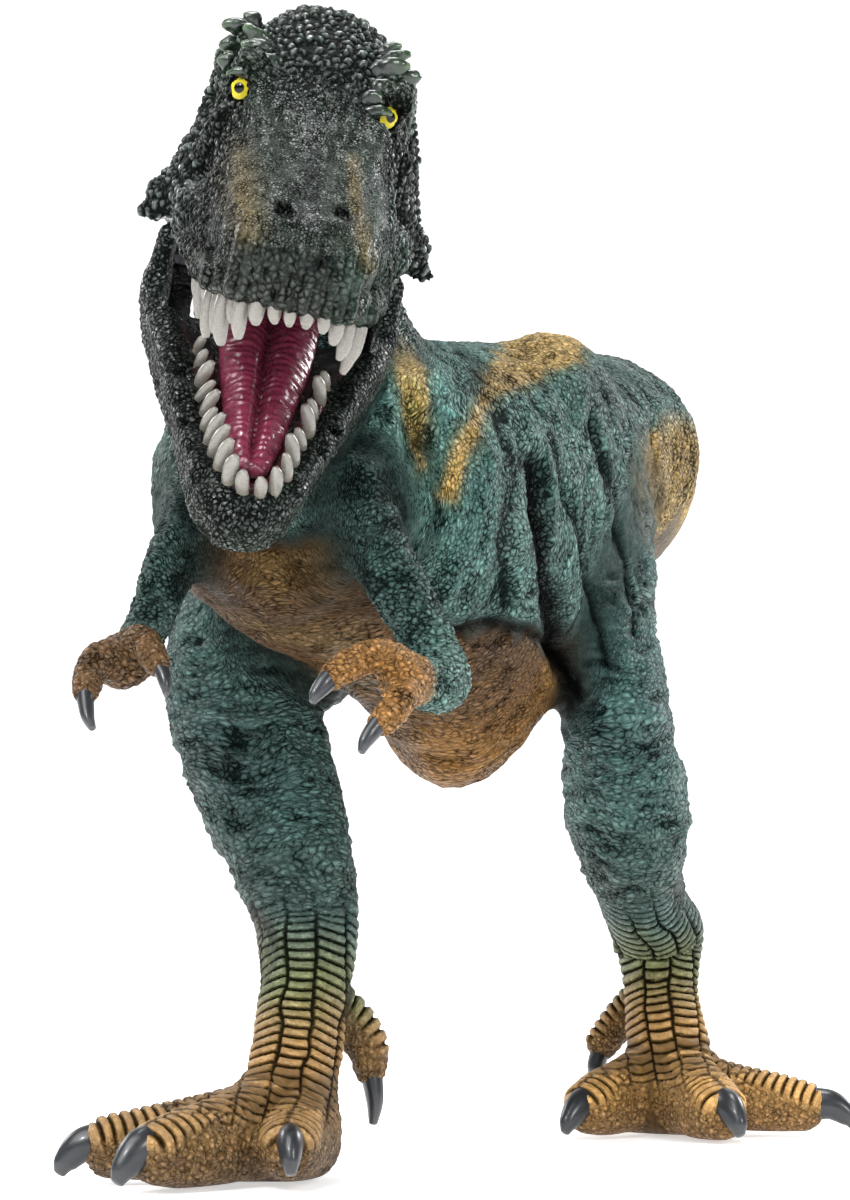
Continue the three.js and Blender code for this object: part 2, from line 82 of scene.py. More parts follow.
LEG_L = [[24.9, 462, 94.4, 10, 13.9, 13.9], [22.1, 455, 83.3, 12.9, 16.1, 17.1], [25.6, 452, 69.1, 10, 12.3, 14.3], [29.6, 457, 60.1, 8.1, 9.9, 11.4],
         [31.5, 468, 50.2, 9.1, 10.5, 11.5], [33.9, 481, 39.2, 6.6, 8.5, 8.5], [37.7, 490, 31, 7.2, 8.5, 9.1], [38, 489, 22.2, 5.6, 6.4, 7],
         [38.8, 485.5, 13.2, 6.5, 6.8, 7], [39.4, 484, 7.5, 7.6, 7.6, 7.6]]
ARM_R = [[-26.5, 397, 90, 5.6, 6.6, 6.6], [-32.4, 392, 82.5, 3.7, 4.8, 5.0], [-35.5, 388, 73.3, 2.8, 3.3, 3.4], [-37.2, 382, 68, 3.1, 3.2, 3.2], [-38.4, 375, 66.2, 3.1, 2.8, 2.8]]
ARM_L = [[-10, 390, 90.5, 5.4, 6.4, 6.4], [-6.0, 386.5, 81.7, 4.1, 4.8, 4.8], [-0.8, 385, 72.2, 3.5, 3.9, 3.9], [2.0, 382, 65.2, 3.8, 3.8, 3.7], [0.4, 376.8, 63.9, 3.2, 3.1, 3.1], [-2.8, 371, 64.2, 2.8, 2.6, 2.6]]
DIGIT = {
    "right_leg": [
        ([[-20, 409, 7, 6.2], [-29, 405, 5.6, 5.4], [-36, 402.5, 4.8, 4.8], [-41.5, 401, 4.4, 4.1]], [[-41.0, 401, 5.0, 2.7], [-44.6, 400.3, 4.9, 2.4], [-47.0, 400, 2.9, 1.7], [-47.9, 399.8, 1.4, 0.9]]),
        ([[-20, 405, 7, 6.2], [-26, 398, 5.6, 5.6], [-31, 392.5, 4.8, 5], [-34, 389.5, 4.6, 4.2]], [[-33.2, 390.0, 5.4, 3.0], [-36.0, 387.9, 5.4, 2.7], [-38.0, 386.3, 3.2, 1.9], [-38.9, 385.6, 1.5, 1.0]]),
        ([[-17.5, 408, 7, 6.2], [-17.3, 401, 5.6, 5.1], [-17.4, 395, 5, 4.4], [-17.6, 392, 4.9, 3.7]], [[-17.4, 391.6, 5.9, 2.5], [-17.2, 388.8, 6.0, 2.2], [-17.1, 387.2, 4.2, 1.7], [-17.0, 386.6, 2.5, 0.9]]),
        ([[-14.5, 418, 23, 3.8], [-10.6, 418.6, 20.2, 3.3], [-8, 418.6, 16.6, 2.8], [-7.5, 418.3, 13.4, 2.3]], [[-7.5, 418.3, 13.4, 1.9], [-7.1, 418, 11.4, 1.75], [-6.9, 417.6, 9.0, 1.4], [-7.1, 417.2, 6.6, 0.8]])],
    "left_leg": [
        ([[36.7, 486, 7.2, 6.5], [31.3, 482, 5.7, 5.6], [27.6, 478, 4.8, 5], [25.7, 476, 4.4, 4.2]], [[26.6, 476.4, 5.3, 2.9], [24.2, 473.7, 4.9, 2.6], [22.4, 471.6, 2.8, 1.8], [21.7, 470.8, 1.3, 0.9]]),
        ([[40, 484, 7.5, 6.5], [42.5, 477, 5.6, 5.8], [44.4, 471.5, 4.3, 5.2], [45.3, 468.5, 4.1, 4.4]], [[45.0, 468.8, 5.3, 3.0], [46.5, 465.7, 5.1, 2.7], [47.5, 463.7, 3.1, 1.9], [47.9, 463.0, 1.4, 1.0]]),
        ([[41, 487, 7.3, 6], [48.6, 484.5, 5.6, 5.2], [55.1, 482.5, 4.8, 4.6], [59.9, 481.2, 4.2, 3.9]], [[60.0, 481.1, 4.5, 2.7], [63.8, 480.4, 4.6, 2.4], [66.7, 479.9, 2.9, 1.7], [67.9, 479.7, 1.4, 0.9]]),
        ([[35.6, 496, 20.2, 3.7], [31.9, 497.4, 16.8, 3.0], [28.9, 498, 13.0, 2.6]], [[28.7, 498, 12.0, 2.0], [28.0, 497.7, 9.6, 1.8], [28.4, 497.3, 7.4, 1.4], [29.1, 497, 5.8, 0.8]])],
    "right_arm": [
        ([[-38.4, 377, 66.7, 3], [-40.6, 372.6, 66.5, 2.2], [-41.5, 370.2, 64.3, 1.9], [-41.8, 369.0, 62.4, 1.6]], [[-41.8, 369.1, 62.7, 1.45], [-41.6, 368.1, 61.0, 1.25], [-41.2, 367, 59.2, 1.0], [-40.6, 366.4, 57.9, 0.6]]),
        ([[-37.4, 376, 67.7, 2.8], [-35.4, 372.4, 69.1, 1.9], [-33.8, 370, 67.3, 1.8], [-32.8, 369.0, 65.6, 1.5]], [[-32.9, 369.1, 65.8, 1.35], [-32.2, 368.4, 64.6, 1.15], [-31.8, 367.8, 63.2, 0.95], [-31.7, 367.4, 62.2, 0.55]])],
    "left_arm": [
        ([[-2, 371.8, 64.4, 3], [-5.6, 368, 66.8, 2.1], [-9.2, 365.6, 65.5, 1.9], [-11.3, 364.0, 63.9, 1.6]], [[-11.1, 364.1, 64.1, 1.45], [-12.2, 363.1, 62.9, 1.25], [-13.1, 362.5, 61.7, 0.95], [-13.5, 362.2, 60.9, 0.55]]),
        ([[-2.6, 371.6, 63.4, 2.8], [-2.8, 366.8, 61.7, 1.9], [-4.2, 364.2, 59.4, 1.8], [-5.5, 363.0, 58.2, 1.55]], [[-5.3, 363.1, 58.4, 1.4], [-6.2, 362.3, 57.3, 1.2], [-7.1, 361.6, 56.0, 0.95], [-7.6, 361.2, 54.8, 0.55]])],
}
SKULL = [[-17, 0, 21, 8, 9, 9], [-12, 0, 20.6, 12.4, 16, 13], [-6, 0, 19.4, 13.6, 17.4, 14], [0, 0, 18.2, 13.4, 15.4, 13.6], [6, 0, 16, 12.2, 12.2, 12],
         [12, 0, 14, 11.4, 10.2, 10.2], [20, 0, 12, 10.8, 8.4, 8.4], [28, 0, 10.6, 10.3, 7.2, 7], [35, 0, 9.5, 9.2, 5.6, 5.9],
         [40, 0, 8.5, 7.4, 4.6, 4.9], [43, 0, 7.6, 4.8, 2.6, 3.7]]
JAW = [[-3, 0, -3.6, 15.4, 4.4, 6.6], [5, 0, -4.2, 16.8, 4.6, 7.6], [15, 0, -4.4, 14.6, 4.4, 7.4], [27, 0, -4, 10.8, 4, 7.4],
       [38, 0, -3.6, 7.8, 3.6, 6.8], [44, 0, -3.4, 5.6, 3.2, 6], [46.8, 0, -3.4, 3.2, 2.2, 4]]
JAW_ROOM = [[-1.5, 0, 2, 12.6, 3, 8.0], [3, 0, 1.6, 14.0, 3, 8.4], [9, 0, 1.6, 13.0, 3, 7.4], [15, 0, 1.4, 10.8, 3, 6.2], [24, 0, 1.2, 6.6, 3, 4.8], [34, 0, 1, 4.4, 3, 3.8], [41, 0, 0.9, 2.5, 2.5, 2.8]]
PALATE_HOLLOW = [[0, 0, 3.6, 8.4, 8, 8], [14, 0, 3.6, 8.2, 8, 8], [27, 0, 3.6, 7.4, 6.4, 7], [37, 0, 3.6, 4.6, 4.8, 6]]
TONGUE = [[7, 0, -0.6, 6.6, 2.6, 2.8], [16, 0, -0.6, 6.1, 2.4, 2.6], [26, 0, -0.7, 4.7, 2.1, 2.2], [34, 0, -0.8, 3.5, 1.8, 1.6], [39.2, 0, -0.8, 2.3, 1.4, 1.0]]

# ------------------------------------------------------------------ lofts
def catmull(P, t):
    P = np.asarray(P, float); n = len(P)
    E = np.vstack([2 * P[0] - P[1], P, 2 * P[-1] - P[-2]])
    i = np.clip(np.floor(t).astype(int), 0, n - 2); w = (t - i)[:, None]
    p0, p1, p2, p3 = E[i], E[i + 1], E[i + 2], E[i + 3]
    v0, v1 = 0.5 * (p2 - p0), 0.5 * (p3 - p1)
    return (2 * p1 - 2 * p2 + v0 + v1) * w ** 3 + (-3 * p1 + 3 * p2 - 2 * v0 - v1) * w ** 2 + v0 * w + p1

def centreline(st, ref, per=8, t0=0.0, t1=None):
    st = np.array(st, float); n = len(st)
    t1 = n - 1 if t1 is None else t1
    t = np.linspace(t0, t1, max(3, int(round((t1 - t0) * per)) + 1))
    q = catmull(st, t)
    T = catmull(st, np.minimum(t + 1e-3, n - 1))[:, :3] - catmull(st, np.maximum(t - 1e-3, 0))[:, :3]
    T /= np.linalg.norm(T, axis=1)[:, None]
    R = np.array(ref, float)
    N = R[None] - (T @ R)[:, None] * T
    N /= np.linalg.norm(N, axis=1)[:, None]
    return t, q, T, N, np.cross(T, N)

def loft(st, ref=(0, 0, 1), cap=(2, 2), seg=40, per=8, power=2.0, grow=0.0, t0=0.0, t1=None, M=None, ncap=6):
    t, q, T, N, S = centreline(st, ref, per, t0, t1)
    rows = []
    r = q[:, 3:6] + grow
    for k in range(1, ncap):
        a = k / ncap * math.pi / 2
        rows.append((q[0, :3] - T[0] * (cap[0] + grow) * math.cos(a), N[0], S[0], r[0] * math.sin(a)))
    for k in range(len(q)):
        rows.append((q[k, :3], N[k], S[k], r[k]))
    for k in range(ncap - 1, 0, -1):
        a = k / ncap * math.pi / 2
        rows.append((q[-1, :3] + T[-1] * (cap[1] + grow) * math.cos(a), N[-1], S[-1], r[-1] * math.sin(a)))
    ang = np.linspace(0, 2 * math.pi, seg, endpoint=False)
    co, si = np.cos(ang), np.sin(ang); e = 2.0 / power
    cx, sy = np.sign(co) * np.abs(co) ** e, np.sign(si) * np.abs(si) ** e
    V = [q[0, :3] - T[0] * (cap[0] + grow)]
    for c, n_, s_, rr in rows:
        V.append(c + s_ * (rr[0] * cx)[:, None] + n_ * (np.where(si > 0, rr[1], rr[2]) * sy)[:, None])
    V.append(q[-1, :3] + T[-1] * (cap[1] + grow))
    V = np.vstack([np.atleast_2d(v) for v in V])
    nr = len(rows); last = len(V) - 1
    a = np.arange(seg); b = (a + 1) % seg
    quads = np.vstack([np.stack([1 + i * seg + a, 1 + i * seg + b, 1 + (i + 1) * seg + b, 1 + (i + 1) * seg + a], 1) for i in range(nr - 1)])
    tris = np.vstack([np.stack([np.zeros(seg, int), 1 + b, 1 + a], 1), np.stack([np.full(seg, last), 1 + (nr - 1) * seg + a, 1 + (nr - 1) * seg + b], 1)])
    if M is not None:
        V = M(V)
    return V, quads, tris

# ------------------------------------------------------------------ level sets on one dense grid
class Field:
    def __init__(self, lo, hi, vox, band):
        self.vox, self.bandv = vox, band
        self.i0 = np.floor(np.array(lo) / vox).astype(int)
        self.n = np.ceil(np.array(hi) / vox).astype(int) - self.i0 + 1
        self.band = band * vox
    def empty(self):
        return np.full(tuple(self.n), self.band, np.float32)
    def of(self, V, quads, tris):
        g = vdb.FloatGrid.createLevelSetFromPolygons(np.ascontiguousarray(V, np.float32), np.ascontiguousarray(tris, np.uint32),
                                                     np.ascontiguousarray(quads, np.uint32), vdb.createLinearTransform(voxelSize=self.vox), float(self.bandv))
        a = self.empty()
        g.copyToArray(a, ijk=tuple(int(v) for v in self.i0))
        return a
    def coords(self, lo=None, hi=None):
        a = [np.arange(self.n[k]) if lo is None else np.arange(max(0, int(lo[k] / self.vox) - self.i0[k]), min(self.n[k], int(hi[k] / self.vox) - self.i0[k] + 2)) for k in range(3)]
        sl = tuple(slice(x[0], x[-1] + 1) for x in a)
        X = np.meshgrid(*[(x + self.i0[k]) * self.vox for k, x in enumerate(a)], indexing="ij")
        return sl, np.stack(X, -1).astype(np.float32)
    def sample(self, A, P):
        g = np.asarray(P) / self.vox - self.i0
        g = np.clip(g, 0, self.n - 1.001)
        i = g.astype(int); w = (g - i).astype(np.float32)
        out = 0
        for dx in (0, 1):
            for dy in (0, 1):
                for dz in (0, 1):
                    f = (w[:, 0] if dx else 1 - w[:, 0]) * (w[:, 1] if dy else 1 - w[:, 1]) * (w[:, 2] if dz else 1 - w[:, 2])
                    out = out + f * A[i[:, 0] + dx, i[:, 1] + dy, i[:, 2] + dz]
        return out
    def mesh(self, A, iso=0.0):
        g = vdb.FloatGrid(self.band)
        g.copyFromArray(np.ascontiguousarray(A, np.float32), ijk=tuple(int(v) for v in self.i0), tolerance=0)
        g.transform = vdb.createLinearTransform(voxelSize=self.vox)
        p, q = g.convertToQuads(iso)
        return np.asarray(p, float), np.asarray(q, int)

def smin(a, b, k):
    h = np.clip(0.5 + 0.5 * (b - a) / k, 0, 1)
    return b * (1 - h) + a * h - k * h * (1 - h)
def smax(a, b, k):
    return -smin(-a, -b, k)
def ell(P, c, r):
    q = P - np.asarray(c, np.float32); r = np.asarray(r, np.float32)
    k0 = np.linalg.norm(q / r, axis=-1) + 1e-6
    k1 = np.linalg.norm(q / (r * r), axis=-1) + 1e-6
    return k0 * (k0 - 1) / k1
def caps(P, a, b, ra, rb):
    a, b = np.asarray(a, np.float32), np.asarray(b, np.float32)
    d = b - a; t = np.clip(((P - a) @ d) / (d @ d), 0, 1)
    return np.linalg.norm(P - a - t[..., None] * d, axis=-1) - (ra + (rb - ra) * t)

# ------------------------------------------------------------------ noise
_rng = np.random.default_rng(7)
_TAB = _rng.random((32, 32, 32, 3)).astype(np.float32)
def worley(P, cell, N=None, seed=0, flat=0.5, jitter=0.9):
    """nearest and second nearest feature distances (in cells) and the nearest feature's own number"""
    Q = (np.asarray(P) / cell + seed * 17.13).astype(np.float32)
    B = np.floor(Q).astype(np.int32)
    F = Q - B
    f1 = np.full(len(Q), 9.0, np.float32); f2 = f1.copy(); idn = np.zeros(len(Q), np.float32)
    off = (1 - jitter) / 2
    for dx in (-1, 0, 1):
        for dy in (-1, 0, 1):
            for dz in (-1, 0, 1):
                c = B + np.array([dx, dy, dz], np.int32)
                r = _TAB[c[:, 0] & 31, c[:, 1] & 31, c[:, 2] & 31]
                d = np.array([dx, dy, dz], np.float32) + off + jitter * r - F
                if N is not None:
                    d -= N * (np.einsum("ij,ij->i", d, N) * flat)[:, None]
                s = np.einsum("ij,ij->i", d, d)
                m = s < f1
                f2 = np.where(m, f1, np.minimum(f2, s))
                idn = np.where(m, r[:, 0], idn)
                f1 = np.where(m, s, f1)
    return np.sqrt(f1), np.sqrt(f2), idn
def vnoise(P, cell, seed=0):
    Q = np.asarray(P) / cell + seed * 9.37
    B = np.floor(Q).astype(int); w = Q - B; w = w * w * (3 - 2 * w)
    out = 0
    for dx in (0, 1):
        for dy in (0, 1):
            for dz in (0, 1):
                f = (w[:, 0] if dx else 1 - w[:, 0]) * (w[:, 1] if dy else 1 - w[:, 1]) * (w[:, 2] if dz else 1 - w[:, 2])
                out = out + f * _TAB[(B[:, 0] + dx) & 31, (B[:, 1] + dy) & 31, (B[:, 2] + dz) & 31, 1]
    return out * 2 - 1
def sstep(a, b, x):
    t = np.clip((x - a) / (b - a), 0, 1)
    return t * t * (3 - 2 * t)
def bump(x, c, w):
    return np.exp(-((x - c) / w) ** 2)

# ------------------------------------------------------------------ the skin's field
VOX = 0.66
BAND = 9.0
FD = Field((-60, 338, -4), (76, 656, 168), VOX, BAND / VOX)
def lerp(a, b, t):
    return a + (b - a) * t
def digit_loft(st):
    d = np.array(st[-1][:3], float) - np.array(st[0][:3], float); d /= np.linalg.norm(d)
    return loft([[*p[:3], p[3], p[3], p[3]] for p in st], ref=(0, -1, 0) if abs(d[2]) > 0.8 else (0, 0, 1), cap=(st[0][3] * 0.8, st[-1][3] * 0.85), seg=28, per=6)

def ell_d(P, c, r):
    return ell(P, c, r).astype(np.float32)

def add_local(A, fn, lo, hi, k, sub=False):
    sl, P = FD.coords(lo, hi)
    B = fn(P)
    A[sl] = smax(A[sl], -B, k) if sub else smin(A[sl], B, k)

TRUNK_SKIN = [[*r[:4], r[4] - {398: 1.5, 406: 3.4, 416: 4.0, 430: 2.8, 445: 2.4, 460: 3.0, 478: 2.6, 498: 1.4}.get(r[1], 0), r[5]] for r in TRUNK]
def build_trunk():
    A = FD.of(*loft(TRUNK_SKIN, cap=(7, 3), seg=72, per=12))
    add_local(A, lambda P: ell_d(P, (4, 444, 67), (10, 15, 13.4)), (-12, 422, 48), (20, 466, 86), 7)
    # ribcage and hip swellings
    add_local(A, lambda P: ell_d(P, (19, 446, 104), (10, 17, 17)), (2, 420, 80), (36, 472, 128), 6)
    add_local(A, lambda P: ell_d(P, (-8, 447, 101), (12, 17, 17)), (-26, 424, 78), (10, 470, 124), 6)
    add_local(A, lambda P: ell_d(P, (2, 408, 93), (8, 12, 12)), (-10, 390, 76), (14, 426, 110), 5)
    add_local(A, lambda P: ell_d(P, (-28, 404, 92), (8, 12, 13)), (-40, 388, 74), (-14, 420, 110), 5)
    return A
LEG_SKIN = {"left_leg": [[*r[:3], r[3], r[4], r[5]] if r[2] != 69.1 else [27.6, 452, 69.1, 8.0, 12.3, 14.3] for r in LEG_L]}
def build_leg(name, st, pads):
    A = FD.of(*loft(LEG_SKIN.get(name, st), ref=(0, -1, 0), cap=(6, 3), seg=56, per=10))
    for c, r in pads:
        add_local(A, lambda P, c=c, r=r: ell_d(P, c, r), np.array(c) - 14, np.array(c) + 14, 3.5)
    for toe, claw in DIGIT[name]:
        A = smin(A, FD.of(*digit_loft(toe)), 1.6)
    sl, P = FD.coords()
    A = np.maximum(A, (0.02 - P[..., 2]).astype(np.float32))
    return A
def build_arm(name, st):
    A = FD.of(*loft(st, ref=(0, -1, 0), cap=(4, 2), seg=40, per=10))
    for f, claw in DIGIT[name]:
        A = smin(A, FD.of(*digit_loft(f)), 1.0)
    return A

SKULL_SKIN = [[-17, 0, 20.4, 6.6, 8.4, 9], [-12, 0, 20, 10.2, 15.2, 13], [-6, 0, 18.8, 11.4, 16.8, 14], [0, 0, 17.8, 11.8, 15.2, 13.6], [6, 0, 15.8, 11.8, 12.2, 12],
              [12, 0, 13.9, 11.7, 10.2, 10.4], [20, 0, 12, 11.6, 8.4, 8.6], [28, 0, 10.6, 11.0, 7.2, 7.2], [35, 0, 9.5, 9.9, 5.8, 6.0],
              [40, 0, 8.6, 8.4, 4.8, 4.9], [43.2, 0, 7.8, 5.8, 3.0, 3.8]]
def head_shapes(P):
    """skull in its own frame: forward, left, up"""
    Q = ((P - H0.astype(np.float32)) @ HM.T.astype(np.float32))
    S = Q.copy(); S[..., 1] = np.abs(S[..., 1])
    B = ell(S, (-3.4, 12.0, 11.0), (6.0, 4.4, 7.4))
    B = smin(B, ell(S, (-3.4, 15.0, 7.4), (4.4, 4.0, 3.3)), 2.0)
    B = smin(B, caps(S, (-1, 17.0, 5.8), (-2.0, 19.4, 4.9), 1.6, 0.8), 1.0)
    B = smin(B, caps(S, (0, 12.4, 8.6), (14, 11.3, 8.4), 3.4, 3.1), 3.0)            # side of the face
    B = smin(B, caps(S, (14, 11.3, 8.4), (27, 9.6, 7.6), 3.1, 2.5), 3.0)
    B = smin(B, caps(S, (-3.0, 9.2, 28.6), (8.5, 9.3, 27.0), 2.7, 2.1), 2.0)        # brow
    B = smin(B, ell(Q, (-1, -10.6, 25.6), (5.4, 3.5, 4.6)), 2.0)
    B = smin(B, ell(Q, (-1, 9.4, 24.3), (5.4, 3.5, 4.2)), 2.0)
    B = smin(B, ell(Q, (-2, -11.6, 20.4), (4.6, 3.2, 4.6)), 2.0)
    B = smin(B, ell(Q, (-2, 11.4, 19.0), (4.6, 3.4, 5.6)), 2.0)
    B = smin(B, caps(S, (8, 8.8, 26.2), (20, 6.6, 19.2), 1.6, 1.3), 2.2)            # ridge from brow to nose
    B = smin(B, caps(S, (20, 6.6, 19.2), (34, 4.6, 14.2), 1.3, 1.5), 2.2)
    B = smin(B, caps(S, (6.8, 11.2, 19.4), (2, 12.4, 13), 2.0, 2.2), 2.4)           # under the eye
    B = smin(B, ell(S, (37.6, 3.2, 12.1), (3.4, 2.6, 2.2)), 1.6)                    # nostril swelling
    for a_, b_, r_ in (((43.2, 0.5, 4.3), (40.2, 6.3, 4.0), 1.5), ((40.2, 6.3, 4.0), (35.6, 9.3, 3.7), 1.55), ((35.6, 9.3, 3.7), (28, 10.6, 3.6), 1.55),
                       ((28, 10.6, 3.6), (17, 11.5, 3.9), 1.6), ((17, 11.5, 3.9), (4, 13.2, 5.0), 1.75)):
        B = smin(B, caps(S, a_, b_, r_, r_), 1.3)                                   # upper lip
    return S, B
def head_cuts(P):
    Q = ((P - H0.astype(np.float32)) @ HM.T.astype(np.float32))
    S = Q.copy(); S[..., 1] = np.abs(S[..., 1])
    eye = np.minimum(ell(Q, (9.8, -10.7, 24.1), (3.4, 2.2, 2.1)), ell(Q, (10.4, 8.8, 24.7), (3.2, 2.2, 2.1)))
    lach = ell(S, (15.5, 12.6, 17.2), (5.0, 1.5, 2.4))                               # hollow before the eye
    nos = np.minimum(ell(Q, (39.8, -3.0, 14.1), (1.7, 1.1, 1.5)), ell(Q, (37.2, 4.1, 14.8), (1.7, 1.1, 1.5)))
    temple = ell(S, (0.5, 13.6, 22.4), (2.6, 0.9, 2.0))
    return eye, lach, nos, temple

def unit(v):
    v = np.asarray(v, float); return v / np.linalg.norm(v)
# centre of each eyeball, the way it looks, and its size
EYES = [(np.array([8.1, 8.1, 24.8]), unit((0.88, 0.46, 0.12)), 2.1), (np.array([7.8, -9.85, 24.1]), unit((0.93, -0.34, 0.12)), 2.1)]
HEAD_LO, HEAD_HI = (-50, 338, 70), (20, 424, 168)
def undercut(A):
    sl, P = FD.coords((-12, 392, 108), (14, 436, 134))
    A[sl] = smax(A[sl], -caps(P, (-0.4, 404, 121.2), (-0.4, 426, 121.6), 3.3, 3.3).astype(np.float32), 1.2)
    return A
def ramus(q, r):
    """the back corner of the lower jaw, in the jaw's frame"""
    S = np.array(q, np.float32); S[..., 1] = np.abs(S[..., 1])
    return caps(S, (2.6, 15.3, -4.0), (-1.2, 14.9, 2.2), r + 0.2, r)
def build_head():
    A = FD.of(*loft(SKULL_SKIN, cap=(3, 1.4), seg=72, per=12, power=2.5, M=head))
    sl, P = FD.coords(HEAD_LO, HEAD_HI)
    S, B = head_shapes(P)
    H = smin(A[sl], B.astype(np.float32), 2.0)
    A[sl] = H
    return A
def cut_head(A):
    sl, P = FD.coords(HEAD_LO, HEAD_HI)
    H = A[sl]
    eye, lach, nos, temple = head_cuts(P)
    H = smax(H, -eye, 0.7); H = smax(H, -lach, 2.2); H = smax(H, -nos, 0.5); H = smax(H, -temple, 2.0)
    Q = ((P - H0.astype(np.float32)) @ HM.T.astype(np.float32))
    for c, ax, _t in EYES:                                                           # eyelids: a ring of skin round each eye
        d = Q - c.astype(np.float32); a = d @ ax.astype(np.float32)
        sx = unit(np.cross(ax, (0, 0, 1))); x_ = d @ sx.astype(np.float32); y_ = d @ np.cross(sx, ax).astype(np.float32)
        r = np.hypot(x_ / 0.72, y_)                                                  # the opening is taller than wide
        H = smin(H, (np.hypot((r - 1.95) * 0.8, a - 1.15 - 0.22 * np.exp(-(y_ / 1.1) ** 2)) - 0.6).astype(np.float32), 0.5)
    A[sl] = H
    return A

t0 = time.time()
G = {}
G["trunk"] = build_trunk()
neck = FD.of(*loft(NECK, ref=(0, 1, 0), cap=(6, 5), seg=56, per=10))
G["skull"] = build_head()
G["neck"] = neck
add_local(neck, lambda P: caps(P, (-20.5, 408, 127), (-16.5, 428, 105), 7.8, 9.4).astype(np.float32), (-38, 388, 90), (12, 450, 146), 5)
G["head"] = smin(G["skull"], neck, 4.0)
G["right_leg"] = build_leg("right_leg", LEG_R, [((-20.0, 405, 3.4), (7.6, 7.4, 4.6)), ((-20.5, 410, 3.8), (8.2, 7.8, 5.2))])
G["left_leg"] = build_leg("left_leg", LEG_L, [((39.5, 484.5, 3.6), (8.2, 8.2, 5.0))])
G["right_arm"] = build_arm("right_arm", ARM_R)
G["left_arm"] = build_arm("left_arm", ARM_L)
SKIN = smin(G["trunk"], G["head"], 3.0)
SKIN = smin(SKIN, smin(G["right_leg"], G["left_leg"], 0.5), 3.4)
SKIN = smin(SKIN, np.minimum(G["right_arm"], G["left_arm"]), 4.0)
SKIN = undercut(cut_head(SKIN))
# room for the jaw through its whole swing, and the roof of the mouth
def jaw_grow(g, ang):
    return FD.of(*loft(JAW, cap=(4, 1.4), seg=48, per=8, power=2.4, grow=g, M=lambda V: head(jaw_to_head(V, ang))))
sl, P = FD.coords((-50, 338, 60), (20, 424, 150))
Qh = (P - H0.astype(np.float32)) @ HM.T.astype(np.float32)
sweep = None
for k in range(6):
    ang = JAW_OPEN + math.radians(lerp(-20, 2, k / 5))
    J = jaw_grow(0.7, ang)[sl]
    Qj = head_to_jaw(Qh, ang)
    slot = np.maximum(np.abs(Qj[..., 1]) - 9.8, Qj[..., 0] - 4.0)
    J = np.minimum(np.maximum(J, -slot), ramus(Qj, 2.4))
    sweep = J if sweep is None else np.minimum(sweep, J)
PH = FD.of(*loft(PALATE_HOLLOW, cap=(6, 2), seg=40, per=8, M=head))[sl]
SKIN[sl] = smax(SKIN[sl], -sweep.astype(np.float32), 0.5)
SKIN[sl] = smax(SKIN[sl], -PH, 0.6)
SWEEP = FD.empty(); SWEEP[sl] = sweep
ROOF = FD.empty(); ROOF[sl] = PH
print("fields", round(time.time() - t0, 1))
V0, Q0 = FD.mesh(SKIN)
print("skin quads", len(Q0))

# ------------------------------------------------------------------ mesh helpers
def mesh_np(name, V, quads=None, tris=None, smooth=True):
    fs, st, n = [], [], 0
    for F in (quads, tris):
        if F is not None and len(F):
            F = np.asarray(F, np.int32)
            fs.append(F.ravel()); st.append(n + np.arange(len(F), dtype=np.int32) * F.shape[1]); n += F.size
    L, S_ = np.concatenate(fs), np.concatenate(st)
    me = bpy.data.meshes.new(name)
    me.vertices.add(len(V)); me.vertices.foreach_set("co", np.ascontiguousarray(V, np.float32).ravel())
    me.loops.add(len(L)); me.loops.foreach_set("vertex_index", L)
    me.polygons.add(len(S_)); me.polygons.foreach_set("loop_start", S_)
    me.update(calc_edges=True)
    if smooth:
        me.polygons.foreach_set("use_smooth", np.ones(len(S_), bool))
    return me
def get_co(me):
    a = np.empty(len(me.vertices) * 3, np.float32); me.vertices.foreach_get("co", a); return a.reshape(-1, 3).astype(float)
def get_no(me):
    a = np.empty(len(me.vertices) * 3, np.float32); me.vertex_normals.foreach_get("vector", a); return a.reshape(-1, 3).astype(float)
def set_co(me, V):
    me.vertices.foreach_set("co", np.ascontiguousarray(V, np.float32).ravel()); me.update()
def put(me, name, a):
    a = np.asarray(a, np.float32)
    if a.ndim == 2:
        at = me.color_attributes.new(name=name, type="FLOAT_COLOR", domain="POINT")
        at.data.foreach_set("color", np.concatenate([a, np.ones((len(a), 1), np.float32)], 1).ravel())
    else:
        me.attributes.new(name=name, type="FLOAT", domain="POINT").data.foreach_set("value", a)
def putv(me, name, a):
    me.attributes.new(name=name, type="FLOAT_VECTOR", domain="POINT").data.foreach_set("vector", np.ascontiguousarray(a, np.float32).ravel())
def unwrap(ob):
    bpy.context.view_layer.objects.active = ob
    for o in bpy.context.selected_objects:
        o.select_set(False)
    ob.select_set(True)
    ob.data.uv_layers.new(name="OFBake")
    bpy.ops.object.mode_set(mode="EDIT")
    bpy.ops.mesh.select_all(action="SELECT")
    bpy.ops.uv.smart_project(angle_limit=math.radians(72), island_margin=0.003, area_weight=0.0)
    bpy.ops.object.mode_set(mode="OBJECT")
    ob.select_set(False)
def piece(name, me, body, slot, mat, *nodes, uv=False):
    ob = bpy.data.objects.new(name, me)
    bpy.context.collection.objects.link(ob)
    if mat is not None:
        me.materials.clear(); me.materials.append(mat)
    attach(ob, body)
    if nodes:
        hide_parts(*nodes)
    return ob
def subdivide(me, level):
    if level == 0:
        return me
    ob = bpy.data.objects.new("tmp", me); bpy.context.collection.objects.link(ob)
    m = ob.modifiers.new("s", "SUBSURF"); m.levels = m.render_levels = level; m.uv_smooth = "NONE"
    dg = bpy.context.evaluated_depsgraph_get()
    out = bpy.data.meshes.new_from_object(ob.evaluated_get(dg))
    bpy.data.objects.remove(ob); bpy.data.meshes.remove(me)
    return out
def lin(c):
    c = np.asarray(c, float) / 255.0
    return np.where(c <= 0.04045, c / 12.92, ((c + 0.055) / 1.055) ** 2.4)

